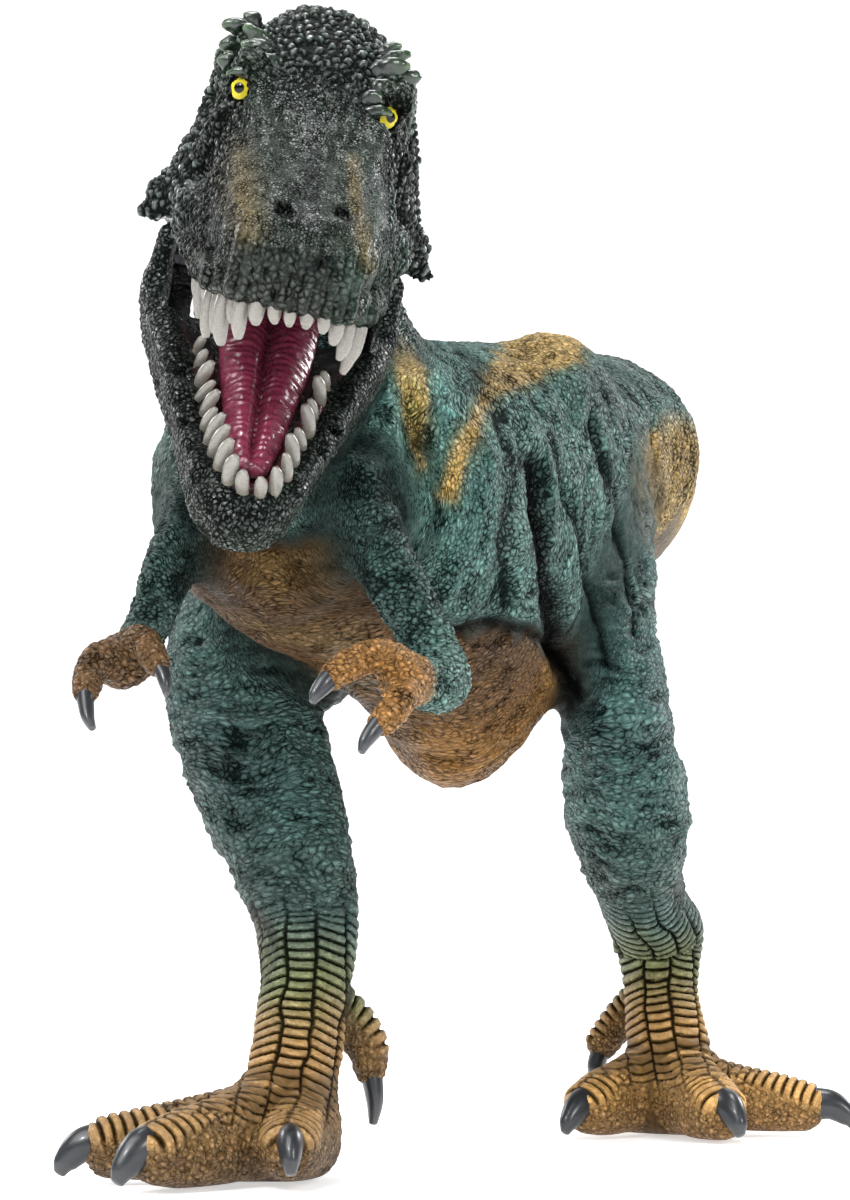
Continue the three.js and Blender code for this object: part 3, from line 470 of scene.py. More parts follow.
# ------------------------------------------------------------------ where a point is on the figure
def path(P, st, ref, per=14):
    """station, length along, sideways and upward offsets from the centreline"""
    t, q, T, N, S = centreline(st, ref, per)
    s = np.concatenate([[0], np.cumsum(np.linalg.norm(np.diff(q[:, :3], axis=0), axis=1))])
    out = np.zeros((len(P), 4))
    C = q[:, :3]; cc = (C ** 2).sum(1)
    for a in range(0, len(P), 60000):
        p = P[a:a + 60000]
        i = np.argmin(cc[None] - 2 * p @ C.T, axis=1)
        d = p - C[i]
        along = (d * T[i]).sum(1)
        out[a:a + 60000] = np.stack([t[i], s[i] + along, (d * S[i]).sum(1), (d * N[i]).sum(1)], 1)
    return out
CAM_F = 2975.0
def pixel(P):
    """the drawing's front view, in the units of its 850 x 1200 sheet"""
    return np.stack([425 + CAM_F * P[:, 0] / P[:, 1], 900 - CAM_F * (P[:, 2] - 37.3) / P[:, 1]], 1)
def line_dist(p, pts):
    """distance to a polyline whose points carry a half width: negative inside"""
    pts = np.asarray(pts, float); best = np.full(len(p), 1e9)
    for a, b in zip(pts[:-1], pts[1:]):
        d = b[:2] - a[:2]; t = np.clip(((p - a[:2]) @ d) / (d @ d), 0, 1)
        best = np.minimum(best, np.linalg.norm(p - a[:2] - t[:, None] * d, axis=1) - (a[2] + (b[2] - a[2]) * t))
    return best
def poly_in(p, pts):
    """signed distance to a polygon, negative inside"""
    pts = np.asarray(pts, float); n = len(pts); best = np.full(len(p), 1e9); ins = np.zeros(len(p), bool)
    for i in range(n):
        a, b = pts[i], pts[(i + 1) % n]
        d = b - a; t = np.clip(((p - a) @ d) / (d @ d), 0, 1)
        best = np.minimum(best, np.linalg.norm(p - a - t[:, None] * d, axis=1))
        c = ((a[1] > p[:, 1]) != (b[1] > p[:, 1])) & (p[:, 0] < (b[0] - a[0]) * (p[:, 1] - a[1]) / (b[1] - a[1] + 1e-12) + a[0])
        ins ^= c
    return np.where(ins, -best, best)

# ------------------------------------------------------------------ relief
def pebbles(P, N, cell, seed, flat=0.7, edge=0.22):
    f1, f2, idn = worley(P, cell, N, seed, flat, 0.8)
    e = sstep(0.0, edge, f2 - f1)
    dome = np.clip(1 - (f1 / 0.62) ** 2, 0, 1)
    return e * (0.35 + 0.65 * dome), np.clip(1 - sstep(0.02, edge * 1.3, f2 - f1) * sstep(0.68, 0.42, f1), 0, 1), idn
def folds(P, cell, seed):
    n = vnoise(P, cell, seed) + 0.5 * vnoise(P, cell * 0.5, seed + 3)
    return 1 - np.abs(n) * 1.5

GROUPS = ["skull", "neck", "trunk", "right_leg", "left_leg", "right_arm", "left_arm"]
LEG_ST = {"right_leg": LEG_R, "left_leg": LEG_L}
ARM_ST = {"right_arm": ARM_R, "left_arm": ARM_L}
C_DARK, C_TEAL, C_TEAL2, C_BELLY = lin((43, 60, 51)), lin((86, 134, 125)), lin((112, 156, 145)), lin((160, 112, 46))
C_STRIPE, C_FOOT, C_YG, C_HAND, C_FLESH, C_BLACK = lin((198, 162, 86)), lin((180, 136, 72)), lin((120, 128, 74)), lin((184, 128, 54)), lin((78, 20, 28)), lin((16, 20, 19))
C_OCHRE = lin((150, 128, 72))
def mix(a, b, t):
    t = np.asarray(t)[:, None] if np.ndim(t) else t
    return a * (1 - t) + b * t

def relief_and_paint(P, N):
    n = len(P)
    F = np.stack([FD.sample(G[g], P) for g in GROUPS])
    W = np.exp(-(F - F.min(0)) / 1.5); W /= W.sum(0)
    W = dict(zip(GROUPS, W))
    h = np.zeros(n); cav = np.zeros(n); rnd = np.zeros(n)
    col = np.zeros((n, 3)); pat = np.zeros((n, 3)); ring = np.zeros((n, 2)); rm = np.zeros(n); calm = np.zeros(n); gloss = np.ones(n); fin = np.zeros(n)
    sw, rf = FD.sample(SWEEP, P), FD.sample(ROOF, P)
    inner = np.maximum(1 - sstep(0.25, 0.9, np.abs(sw)), 1 - sstep(0.25, 0.8, np.abs(rf)))
    px = pixel(P)

    def add(w, fn):
        nonlocal h, cav, rnd
        i = np.nonzero(w > 0.02)[0]
        if len(i):
            a, c, r, cc, pt = fn(P[i], N[i], i)
            h[i] += w[i] * a; cav[i] += w[i] * c; rnd[i] += w[i] * r; col[i] += w[i][:, None] * cc
            pat[i] += w[i][:, None] * pt

    def f_skull(p, nn, i):
        q = head_inv(p); m = nn @ HM.T
        f, l, u = q[:, 0], np.abs(q[:, 1]), q[:, 2]
        big = np.clip(sstep(14, 4, f) * sstep(20, 27, u) + sstep(12, 14.5, l) + sstep(2, -6, f), 0, 1)
        snout = sstep(8, 18, f) * sstep(0.35, 0.75, m[:, 2])
        mid = sstep(0.2, 0.8, np.abs(m[:, 1])) * (1 - big)
        hb, cb, ib = pebbles(q, m, 1.8, 1, 0.7, 0.34)
        hs, cs, is_ = pebbles(q * np.array([0.6, 1, 1]), m, 1.0, 2, 0.7, 0.34)
        hm, cm, im = pebbles(q * np.array([0.85, 1, 1]), m, 1.55, 3, 0.7, 0.34)
        hh = lerp(lerp(hm, hs, snout), hb, big); cc = lerp(lerp(cm, cs, snout), cb, big); ii = lerp(im, ib, big)
        flank_ = sstep(8.3, 10.6, l) * sstep(30, 22, f) * sstep(0.75, 0.45, m[:, 2]) * (1 - big)
        amp = lerp(lerp(lerp(0.2, 0.05, snout), 0.5, flank_), 0.56, big) * (0.75 + 0.5 * ii)
        calm[i] = np.maximum(calm[i], np.maximum(np.maximum(big, 0.85 * flank_), 0.2 * snout) * W["skull"][i])
        front_ = sstep(30, 38, f) * sstep(0.2, 0.6, m[:, 0]) * (1 - snout)
        side_ = sstep(12, 20, f) * (1 - snout) * (1 - front_)
        gloss[i] = 1 - np.maximum(0.6 * np.maximum(snout * (1 - big), front_), np.maximum(0.38 * flank_, 0.62 * side_)) * W["skull"][i]; fin[i] = np.maximum(snout, 0.75 * (1 - big) * sstep(14, 8, l) * (1 - front_) * (1 - flank_)) * W["skull"][i]
        calm[i] = np.maximum(calm[i], 0.4 * front_ * W["skull"][i])
        comb = folds(q * np.array([0.16, 1, 1]), 2.2, 5) * snout
        dent = folds(q, 7.0, 19) * 0.5
        lip = sstep(13.0, 10.5, u) * sstep(1.5, 3.5, u) * sstep(24, 34, f)
        rid = 1 - np.abs(q[:, 1] / 1.5 - np.round(q[:, 1] / 1.5)) * 2
        comb = comb + 1.5 * lip * rid
        cc = np.maximum(cc * (1 - 0.6 * lip), 0.9 * lip * (1 - rid) ** 2); amp = amp * (1 - 0.6 * lip)
        dn = np.minimum(np.linalg.norm(q - [39.8, -3.0, 14.1], axis=1), np.linalg.norm(q - [37.2, 4.1, 14.8], axis=1))
        c = np.tile(C_DARK, (len(p), 1)) * (0.75 + 0.5 * ii)[:, None]
        c = c * ((1 - np.maximum(0.62 * flank_, 0.5 * sstep(16, 24, f) * (1 - snout))) * (1 - 0.4 * snout * sstep(10, 20, f)))[:, None]
        green = bump(u, 27, 5) * sstep(6, 9, l) * sstep(-6, 0, f)
        c = mix(c, lin((58, 84, 62)), 0.75 * green)
        c = mix(c, lin((52, 72, 64)), 0.5 * sstep(4, -10, f) * sstep(4, 12, l))
        c = mix(c, lin((50, 92, 74)), 0.55 * sstep(2, 8, q[:, 1]) * sstep(10, 18, f) * (1 - 0.6 * sstep(14, 18, u)))
        c = mix(c, lin((62, 76, 60)), 0.5 * bump(l, 4.5, 2.2) * sstep(12, 20, f) * sstep(0.3, 0.7, m[:, 2]))
        pp = px[i]
        tan = sstep(20, -26, line_dist(pp, [[240, 150, 4], [240, 190, 14], [248, 228, 12]]))
        tan2 = sstep(10, -8, line_dist(pp, [[352, 160, 2], [355, 196, 5], [362, 236, 6], [368, 270, 4]]))
        c = mix(c, C_OCHRE, 0.72 * np.maximum(tan, tan2))
        de = np.minimum(*(np.linalg.norm(q - e_[0] - 1.2 * e_[1], axis=1) for e_ in EYES))
        # painted shade in the nostril pits
        c = c * (1 - 0.6 * sstep(2.6, 1.4, dn))[:, None]
        c = c * (1 - 0.72 * sstep(3.6, 2.4, de))[:, None]
        low = sstep(10, 5, u) * sstep(14, 24, f)
        c = mix(c, lin((58, 60, 50)), 0.4 * low)
        return hh * amp + comb * 0.26 + 0.3 * dent, cc * np.clip(0.45 - 0.3 * snout + 0.55 * np.maximum(big, flank_), 0, 1), ii, c, q * np.array([0.75, 1, 1]) / 0.78
    add(W["skull"], f_skull)

    def f_neck(p, nn, i):
        hb, cb, ib = pebbles(p, nn, 1.7, 4, 0.7, 0.34)
        fo = folds(p * np.array([1.4, 1.4, 0.5]), 7.0, 6)
        c = mix(np.tile(lin((56, 70, 64)), (len(p), 1)), C_TEAL, sstep(132, 108, p[:, 2]))
        c = c * (0.82 + 0.36 * ib)[:, None]
        return hb * 0.26 * (0.7 + 0.6 * ib) + 0.6 * fo, 0.4 * cb + 0.4 * sstep(0.3, 0, fo), ib, c, p / 0.85
    add(W["neck"], f_neck)

    def f_trunk(p, nn, i):
        t, s, lat, up = path(p, TRUNK, (0, 0, 1)).T
        phi = np.degrees(np.arctan2(np.abs(lat), up))
        pw = p + 2.2 * np.stack([vnoise(p, 9, 11), vnoise(p, 9, 12), vnoise(p, 9, 13)], 1)
        side = sstep(35, 70, phi) * sstep(130, 100, phi)
        belly = np.zeros(len(p))
        # the left flank is drawn from the front view, the right one mirrors it
        st_t, st_q, st_T, st_N, st_S = centreline(TRUNK, (0, 0, 1), 14)
        j = np.clip((t * 14).round().astype(int), 0, len(st_t) - 1)
        mirror = p - 2 * np.minimum(lat * SIDE, 0)[:, None] * st_S[j] * SIDE
        mp = pixel(mirror)
        own = px[i]
        bel_own = poly_in(own, [[150, 560], [205, 536], [300, 540], [352, 540], [392, 604], [432, 640], [486, 628], [540, 640], [566, 672], [600, 730], [560, 830], [300, 830], [170, 660]])
        under = sstep(138, 158, phi) * sstep(1.6, 3.0, t) * sstep(8.4, 7.2, t)
        front = sstep(0.2, -0.35, nn[:, 1])
        bel_own = bel_own + 9 * vnoise(p, 4, 71) + 5 * vnoise(p, 1.8, 72)
        belly = np.maximum(sstep(9, -12, bel_own) * np.maximum(front, sstep(0.0, -0.4, nn[:, 2])), under)
        belly = np.maximum(belly, sstep(120, 150, phi) * sstep(7.4, 8.2, t) * 0.8)
        # scales and folds
        smooth_ = sstep(7.8, 9.0, t)
        h1, c1, i1 = pebbles(pw, nn, 2.3, 7, 0.7, 0.3)
        f1_ = folds(pw * np.array([1.0, 1.25, 0.4]), 7.5, 9)
        f2_ = folds(pw * np.array([1.0, 1.2, 0.6]), 3.6, 10)
        hh = (0.20 * h1 + 0.34 * f2_ + 0.9 * f1_ * (0.4 + 0.6 * side)) * (1 - 0.5 * smooth_)
        cc = (0.2 * c1 + 0.25 * sstep(0.3, -0.1, f1_) + 0.3 * sstep(0.25, -0.2, f2_)) * (1 - 0.55 * smooth_)
        pb = p + 1.1 * np.stack([vnoise(p, 5, 65), vnoise(p, 5, 66), vnoise(p, 5, 67)], 1)
        h3 = folds(pb * np.array([0.4, 1.0, 1.0]), 2.6, 14); i3 = 0.5 + 0.5 * vnoise(p, 2.0, 68)
        hh = lerp(hh, 0.30 * h3 + 0.35 * folds(pb, 6, 15), belly); cc = lerp(cc, 0.22 * sstep(0.35, -0.1, h3), belly)
        ii = lerp(i1, i3, belly)
        pt = mix(pw * np.array([1, 1, 0.9]) / 0.76, pb * np.array([0.45, 1.0, 1.0]) / 0.7, belly)
        calm[i] = np.maximum(calm[i], np.maximum(0.5 * smooth_, 0.25 * sstep(60, 30, phi)) * W["trunk"][i]); gloss[i] = gloss[i] * (1 - 0.5 * belly * W["trunk"][i])
        base = mix(np.tile(C_TEAL, (len(p), 1)), C_TEAL2, 0.35 * sstep(-0.2, 0.6, vnoise(p, 14, 15)))
        base = mix(base, lin((40, 66, 66)), 0.5 * sstep(-0.1, 0.6, vnoise(p, 18, 16)))
        base = mix(base, lin((66, 88, 80)), 0.5 * sstep(25, 0, phi))
        base = mix(base, lin((66, 112, 106)), 0.5 * smooth_) * (1 - 0.54 * smooth_)[:, None]
        base = mix(base, lin((52, 70, 62)), 0.55 * sstep(2.4, 0.6, t))
        # painted light: the flank near the neck is lightened where the head's shadow falls on it
        lit = bump(own[:, 0], 408, 48) * bump(own[:, 1], 430, 110)
        base = base * (1 - 0.55 * bump(own[:, 0], 622, 60) * bump(own[:, 1], 388, 60))[:, None]
        base = base * ((0.8 + 0.4 * ii) * (1 + 1.6 * lit))[:, None]
        s1 = line_dist(mp, [[396, 348, 9], [410, 385, 12], [415, 430, 10], [420, 470, 4]])
        s2 = poly_in(mp, [[500, 320], [505, 346], [482, 386], [466, 428], [440, 500], [450, 502], [466, 462], [482, 424], [496, 400], [524, 386], [580, 366], [584, 330], [540, 310]])
        tn = poly_in(mp, [[740, 380], [690, 388], [662, 416], [642, 442], [637, 472], [640, 556], [700, 600], [740, 480]])
        wob = 7 * vnoise(p, 4, 17)
        flank_ = sstep(64, 84, phi)
        m = np.maximum(np.maximum(sstep(6, -5, s1 + wob), sstep(6, -5, s2 + wob)), sstep(7, -6, tn + wob) * flank_)
        rim = np.maximum(np.maximum(sstep(15, 3, s1 + wob), sstep(15, 3, s2 + wob)), sstep(17, 3, tn + wob) * flank_)
        shy = np.where(lat * SIDE < 0, sstep(424, 436, p[:, 1]), 1.0)
        rim, m = rim * shy, m * shy
        end_ = sstep(9.35, 8.75, t + 0.15 * vnoise(p, 5, 62))
        rim, m = rim * end_, np.maximum(m * end_, tail_bands(t, phi, p))
        base = mix(base, lin((116, 128, 84)) * (0.86 + 0.28 * ii)[:, None], 0.6 * rim * (1 - m) * (1 - belly))
        # the stripe gets the same painted light near the neck
        base = mix(base, C_STRIPE * ((0.86 + 0.28 * ii) * (1 + 1.4 * lit))[:, None], 0.95 * m * (1 - belly))
        bel = mix(np.tile(C_BELLY, (len(p), 1)), lin((122, 84, 38)), 0.5 + 0.5 * vnoise(p, 7, 18)) * (0.85 + 0.3 * i3)[:, None]
        bel = mix(bel, C_STRIPE * 0.95, 0.35 * sstep(0.2, 0.8, vnoise(p, 10, 19)))
        # painted shade: the chest part of the belly darker below the head and behind the arms; brighter low on the
        # belly
        bel = bel * (lerp(0.44, 0.92, sstep(412, 440, p[:, 1])) * (1 + 0.5 * bump(own[:, 0], 440, 55) * sstep(690, 760, own[:, 1])))[:, None]
        base = mix(base, bel, belly)
        return hh, cc, ii, base, pt
    add(W["trunk"], f_trunk)

    for g in ("right_leg", "left_leg"):
        def f_leg(p, nn, i, g=g):
            st = LEG_ST[g]
            t, s, lat, fr = path(p, st, (0, -1, 0)).T
            phi = np.degrees(np.arctan2(lat, fr))
            z = p[:, 2]
            pw = p + 1.6 * np.stack([vnoise(p, 7, 21), vnoise(p, 7, 22), vnoise(p, 7, 23)], 1)
            h1, c1, i1 = pebbles(pw * np.array([0.7, 0.7, 1.25]), nn, 2.1, 24, 0.7, 0.3)
            fo = folds(pw * np.array([0.38, 0.38, 1.3]), 5.0, 25)
            fo2 = folds(pw * np.array([0.4, 0.4, 1.2]), 2.4, 26)
            up_ = sstep(30, 42, z)
            hh = 0.22 * h1 + (0.56 * fo + 0.42 * fo2) * up_; cc = 0.2 * c1 + (0.15 * sstep(0.3, -0.1, fo) + 0.3 * sstep(0.3, -0.2, fo2)) * up_
            pt = pw * np.array([0.6, 0.6, 1.0]) / 0.72
            # scutes on the front of the shin
            fs = sstep(40, 31, z + 1.5 * vnoise(p, 5, 36)) * sstep(6.5, 9.5, z)
            wx = (lat - (0.4 if g == "right_leg" else 1.0)) / 3.9 + 0.10 * vnoise(p, 3, 28)
            kx = np.round(wx)
            cx = (wx - kx) * 2
            ss = s / 1.5 + 0.37 * (kx % 2) + 0.22 * cx ** 2 + 0.05 * vnoise(p, 2.5, 29)
            sr = np.abs(ss - np.round(ss)) * 2
            sc = sstep(1.0, 0.75, np.abs(cx)) * sstep(1.0, 0.45, sr)
            fm = fs * sstep(100, 78, np.abs(phi))
            hh = lerp(hh, 0.66 * sc, fm); cc = lerp(cc, 0.45 * (1 - sc), fm)
            rg = np.stack([wx + 0.5, ss + 0.5], 1); rmm = fm
            # toes: rings across the top
            toe = np.full(len(p), 1e9); ts = np.zeros(len(p)); tl = np.zeros(len(p)); tu = np.zeros(len(p))
            for toe_st, claw in DIGIT[g]:
                st3 = [[*r[:3], r[3], r[3], r[3]] for r in toe_st]
                d = np.array(st3[-1][:3], float) - np.array(st3[0][:3], float); d /= np.linalg.norm(d)
                a = path(p, st3, (0, -1, 0) if abs(d[2]) > 0.8 else (0, 0, 1), 10)
                rad = np.interp(a[:, 0], range(len(st3)), [r[3] for r in st3])
                dd = np.hypot(a[:, 2], a[:, 3]) - rad
                mm = dd < toe
                toe = np.where(mm, dd, toe); ts = np.where(mm, a[:, 1], ts); tl = np.where(mm, a[:, 2], tl); tu = np.where(mm, a[:, 3], tu)
            tw = sstep(2.6, 0.6, toe) * sstep(16, 9, z) + sstep(2.0, 0.4, toe) * (z > 12)
            tw = np.clip(tw, 0, 1)
            tr = ts / 1.5 + 0.06 * vnoise(p, 2.5, 30) + 0.02 * tl ** 2
            ta = np.abs(tr - np.round(tr)) * 2
            topm = sstep(-0.1, 0.4, nn[:, 2]) * sstep(4.4, 3.4, np.abs(tl)) * sstep(-0.6, 0.6, ts)
            th = sstep(1.0, 0.45, ta)
            h4, c4, i4 = pebbles(p, nn, 1.7, 31, 0.7, 0.3)
            hh = lerp(hh, lerp(0.24 * h4, 0.60 * th, topm), tw); cc = lerp(cc, lerp(0.35 * c4, 0.45 * (1 - th), topm), tw)
            pt = mix(pt, p / 0.74, tw)
            tsel = tw * topm > fm
            rg = np.where(tsel[:, None], np.stack([tl / 7.0, tr + 0.5], 1), rg); rmm = np.maximum(fm, tw * topm)
            calm[i] = np.maximum(calm[i], np.maximum(0.2, 0.5 * tw) * W[g][i])
            ring[i] = rg; rm[i] = np.maximum(rm[i], rmm * W[g][i])
            sole = sstep(-0.55, -0.9, nn[:, 2]) * sstep(1.5, 0.4, z)
            hh = hh * (1 - sole)
            ii = lerp(i1, i4, tw)
            base = mix(np.tile(lin((66, 110, 104)), (len(p), 1)), C_TEAL, 0.5 * sstep(-0.2, 0.6, vnoise(p, 12, 32)))
            base = mix(base, lin((40, 68, 70)), 0.35 * sstep(-0.1, 0.6, vnoise(p, 14, 33)))
            base = mix(base, lin((74, 96, 88)), 0.5 * sstep(52, 38, z))
            zz = z + 2.0 * vnoise(p, 6, 34)
            base = mix(base, C_YG, sstep(36, 25, zz))
            base = mix(base, C_FOOT, sstep(27, 16, zz))
            base = base * (0.84 + 0.32 * ii)[:, None]
            # painted shade: darker brown on the downward-facing sides of the toes
            base = mix(base, lin((120, 84, 48)), 0.45 * tw * sstep(0.3, -0.3, nn[:, 2]))
            # painted shade and painted light: the right leg darker overall, most on the thigh; the left leg lighter on
            # the thigh and at the foot, and darker round the shin
            base = base * (lerp(0.76, 0.62, sstep(44, 62, z)) * (1 - 0.2 * bump(z, 27, 9)) * lerp(0.86, 1.0, sstep(6, 15, z)) if g == 'right_leg' else lerp(0.95, 1.2, sstep(50, 64, z)) * (1 - 0.34 * bump(z, 30, 11)) * lerp(1.3, 1.0, sstep(6, 15, z)))[:, None]
            return hh, cc, ii, base, pt
        add(W[g], f_leg)

    for g in ("right_arm", "left_arm"):
        def f_arm(p, nn, i, g=g):
            st = ARM_ST[g]
            t, s, lat, fr = path(p, st, (0, -1, 0)).T
            h1, c1, i1 = pebbles(p * np.array([0.85, 0.85, 1.2]), nn, 1.5, 41, 0.7, 0.3)
            fo = folds(p * np.array([0.7, 0.7, 1.3]), 4.5, 42)
            hand = sstep(2.75, 3.4, t) if g == "right_arm" else sstep(4.25, 4.8, t)
            tot = s / 1.3 + 0.3 * vnoise(p, 2.0, 43)
            wr = 1 - (np.abs(tot - np.round(tot)) * 2) ** 2
            hh = lerp(0.28 * h1 + 0.25 * fo, 0.16 * wr + 0.18 * h1 + 0.15 * fo, hand)
            base = mix(np.tile(C_TEAL, (len(p), 1)), C_TEAL2, 0.5 * sstep(1.6, 2.6, t) + 0.2 * vnoise(p, 6, 44))
            # painted shade: the right arm and hand darker overall, the left arm darker near the shoulder
            base = mix(base, C_HAND * (0.62 if g == "right_arm" else 0.85), hand) * (0.82 + 0.36 * i1)[:, None]
            base = mix(base, lin((124, 164, 152)), 0.8 * (bump(t, 3.3, 0.7) if g == "left_arm" else 0.3 * bump(t, 2.2, 0.5)))
            base = base * (0.52 if g == 'right_arm' else lerp(0.58, 1.0, sstep(1.8, 2.6, t))[:, None])
            calm[i] = np.maximum(calm[i], 0.2 * hand * W[g][i])
            return hh, np.clip(0.35 * c1 * (1 - 0.5 * hand) + 0.3 * sstep(0.3, 0, fo), 0, 1), i1, base, p * np.array([0.8, 0.8, 1.1]) / 0.7
        add(W[g], f_arm)

    # the long folds between belly and thigh
    seen = sstep(0.45, 0.1, N[:, 1]) * (P[:, 0] > -12) * (P[:, 1] > 396) * (P[:, 1] < 500) * (P[:, 2] > 60)
    wv = px + np.stack([5 * vnoise(P, 5, 54), 0 * h], 1)
    for pts, dep, wd in (([[551, 440, 0], [563, 495, 0], [578, 545, 0], [592, 605, 0], [604, 668, 0]], 1.1, 5.5),
                         ([[530, 470, 0], [539, 520, 0], [546, 575, 0], [554, 645, 0], [572, 700, 0]], 1.9, 10.5),
                         ([[500, 420, 0], [508, 480, 0], [500, 540, 0], [506, 610, 0]], 0.6, 7),
                         ([[590, 430, 0], [606, 490, 0], [622, 560, 0], [634, 640, 0]], 0.7, 6),
                         ([[388, 470, 0], [404, 530, 0], [424, 600, 0], [452, 640, 0]], 0.8, 8),
                         ([[452, 640, 0], [480, 628, 0], [520, 634, 0], [562, 664, 0]], 0.9, 6)):
        # the folds are painted dark as well as dented: painted shade in the hollows
        k_ = np.exp(-(line_dist(wv, pts) / wd) ** 2) * seen; dk = 0.93 if wd > 10 else 0.4
        h = h - dep * k_; cav = np.clip(cav + (0.65 * k_ ** 2 if wd > 10 else 0.45 * k_ ** 2), 0, 1); col = col * (1 - dk * k_)[:, None]
    # inside of the mouth and the throat
    q = head_inv(P)
    fl = inner * sstep(13.5, 11.5, np.abs(q[:, 1])) * sstep(-9, -4, q[:, 0])
    below = sstep(-2.0, -4.5, head_to_jaw(q)[:, 2]); fl = fl * (1 - below)              # the throat under the jaw is skin
    fn = 0.5 + 0.5 * vnoise(P, 2.2, 51)
    # painted shade: the flesh darkens towards the back of the mouth, and the hollows cut for the jaw and the roof of
    # the mouth are painted black
    col = mix(col, C_FLESH * ((0.55 + 0.5 * fn) * lerp(0.25, 1.0, sstep(3, 20, q[:, 0])))[:, None], fl * 0.95)
    col = mix(col, C_BLACK, inner * (1 - fl) * 0.55 * (1 - 0.7 * below))
    h = h * (1 - inner) + inner * 0.08 * vnoise(P, 1.4, 52)
    cav = cav * (1 - inner)
    return h, np.clip(cav, 0, 1), rnd, np.clip(col, 0.001, 1), fl, pat, ring, rm * (1 - inner), calm, gloss, fin

_t, _q, _T, _N, _S = centreline(TRUNK, (0, 0, 1), 4)
SIDE = 1.0 if _S[8, 0] > 0 else -1.0            # sign of the sideways axis on the figure's left
def tail_bands(t, phi, p):
    a = t - 8.9 + 0.12 * vnoise(p, 6, 61) - 0.35 * phi / 180
    m = 0
    for c in (1.05, 2.15, 3.2, 4.2):
        m = np.maximum(m, bump(a, c, 0.2) * sstep(128, 100, phi) * sstep(8, 24, phi))
    return m

# ------------------------------------------------------------------ materials
def nodes(mat):
    mat.use_nodes = True
    nt = mat.node_tree; nt.nodes.clear()
    return nt, nt.nodes.new
def link(nt, a, b):
    nt.links.new(a, b)
def mixc(nt, a, b, fac, mode="MIX"):
    m = nt.nodes.new("ShaderNodeMix"); m.data_type = "RGBA"; m.blend_type = mode
    for s_, v in ((m.inputs[0], fac), (m.inputs[6], a), (m.inputs[7], b)):
        if hasattr(v, "is_output"):
            nt.links.new(v, s_)
        else:
            s_.default_value = v if not isinstance(v, (tuple, list, np.ndarray)) else (*[float(x) for x in v[:3]], 1)
    return m.outputs[2]
def maprange(nt, v, a, b, c, d):
    m = nt.nodes.new("ShaderNodeMapRange"); nt.links.new(v, m.inputs[0])
    for k, x in enumerate((a, b, c, d)):
        m.inputs[k + 1].default_value = x
    return m.outputs[0]
def math_(nt, op, a, b=None):
    m = nt.nodes.new("ShaderNodeMath"); m.operation = op
    for k, v in enumerate((a, b)):
        if v is None:
            continue
        if hasattr(v, "is_output"):
            nt.links.new(v, m.inputs[k])
        else:
            m.inputs[k].default_value = v
    return m.outputs[0]
def attr(nt, name, out="Fac"):
    a = nt.nodes.new("ShaderNodeAttribute"); a.attribute_name = name
    return a.outputs[out]
def noise(nt, vec, scale, detail=3, rough=0.55):
    t = nt.nodes.new("ShaderNodeTexNoise"); t.inputs["Scale"].default_value = scale; t.inputs["Detail"].default_value = detail; t.inputs["Roughness"].default_value = rough
    nt.links.new(vec, t.inputs["Vector"]); return t.outputs["Fac"]
def voro(nt, vec, scale, feature="F1"):
    t = nt.nodes.new("ShaderNodeTexVoronoi"); t.feature = feature; t.inputs["Scale"].default_value = scale
    nt.links.new(vec, t.inputs["Vector"]); return t.outputs["Distance"]

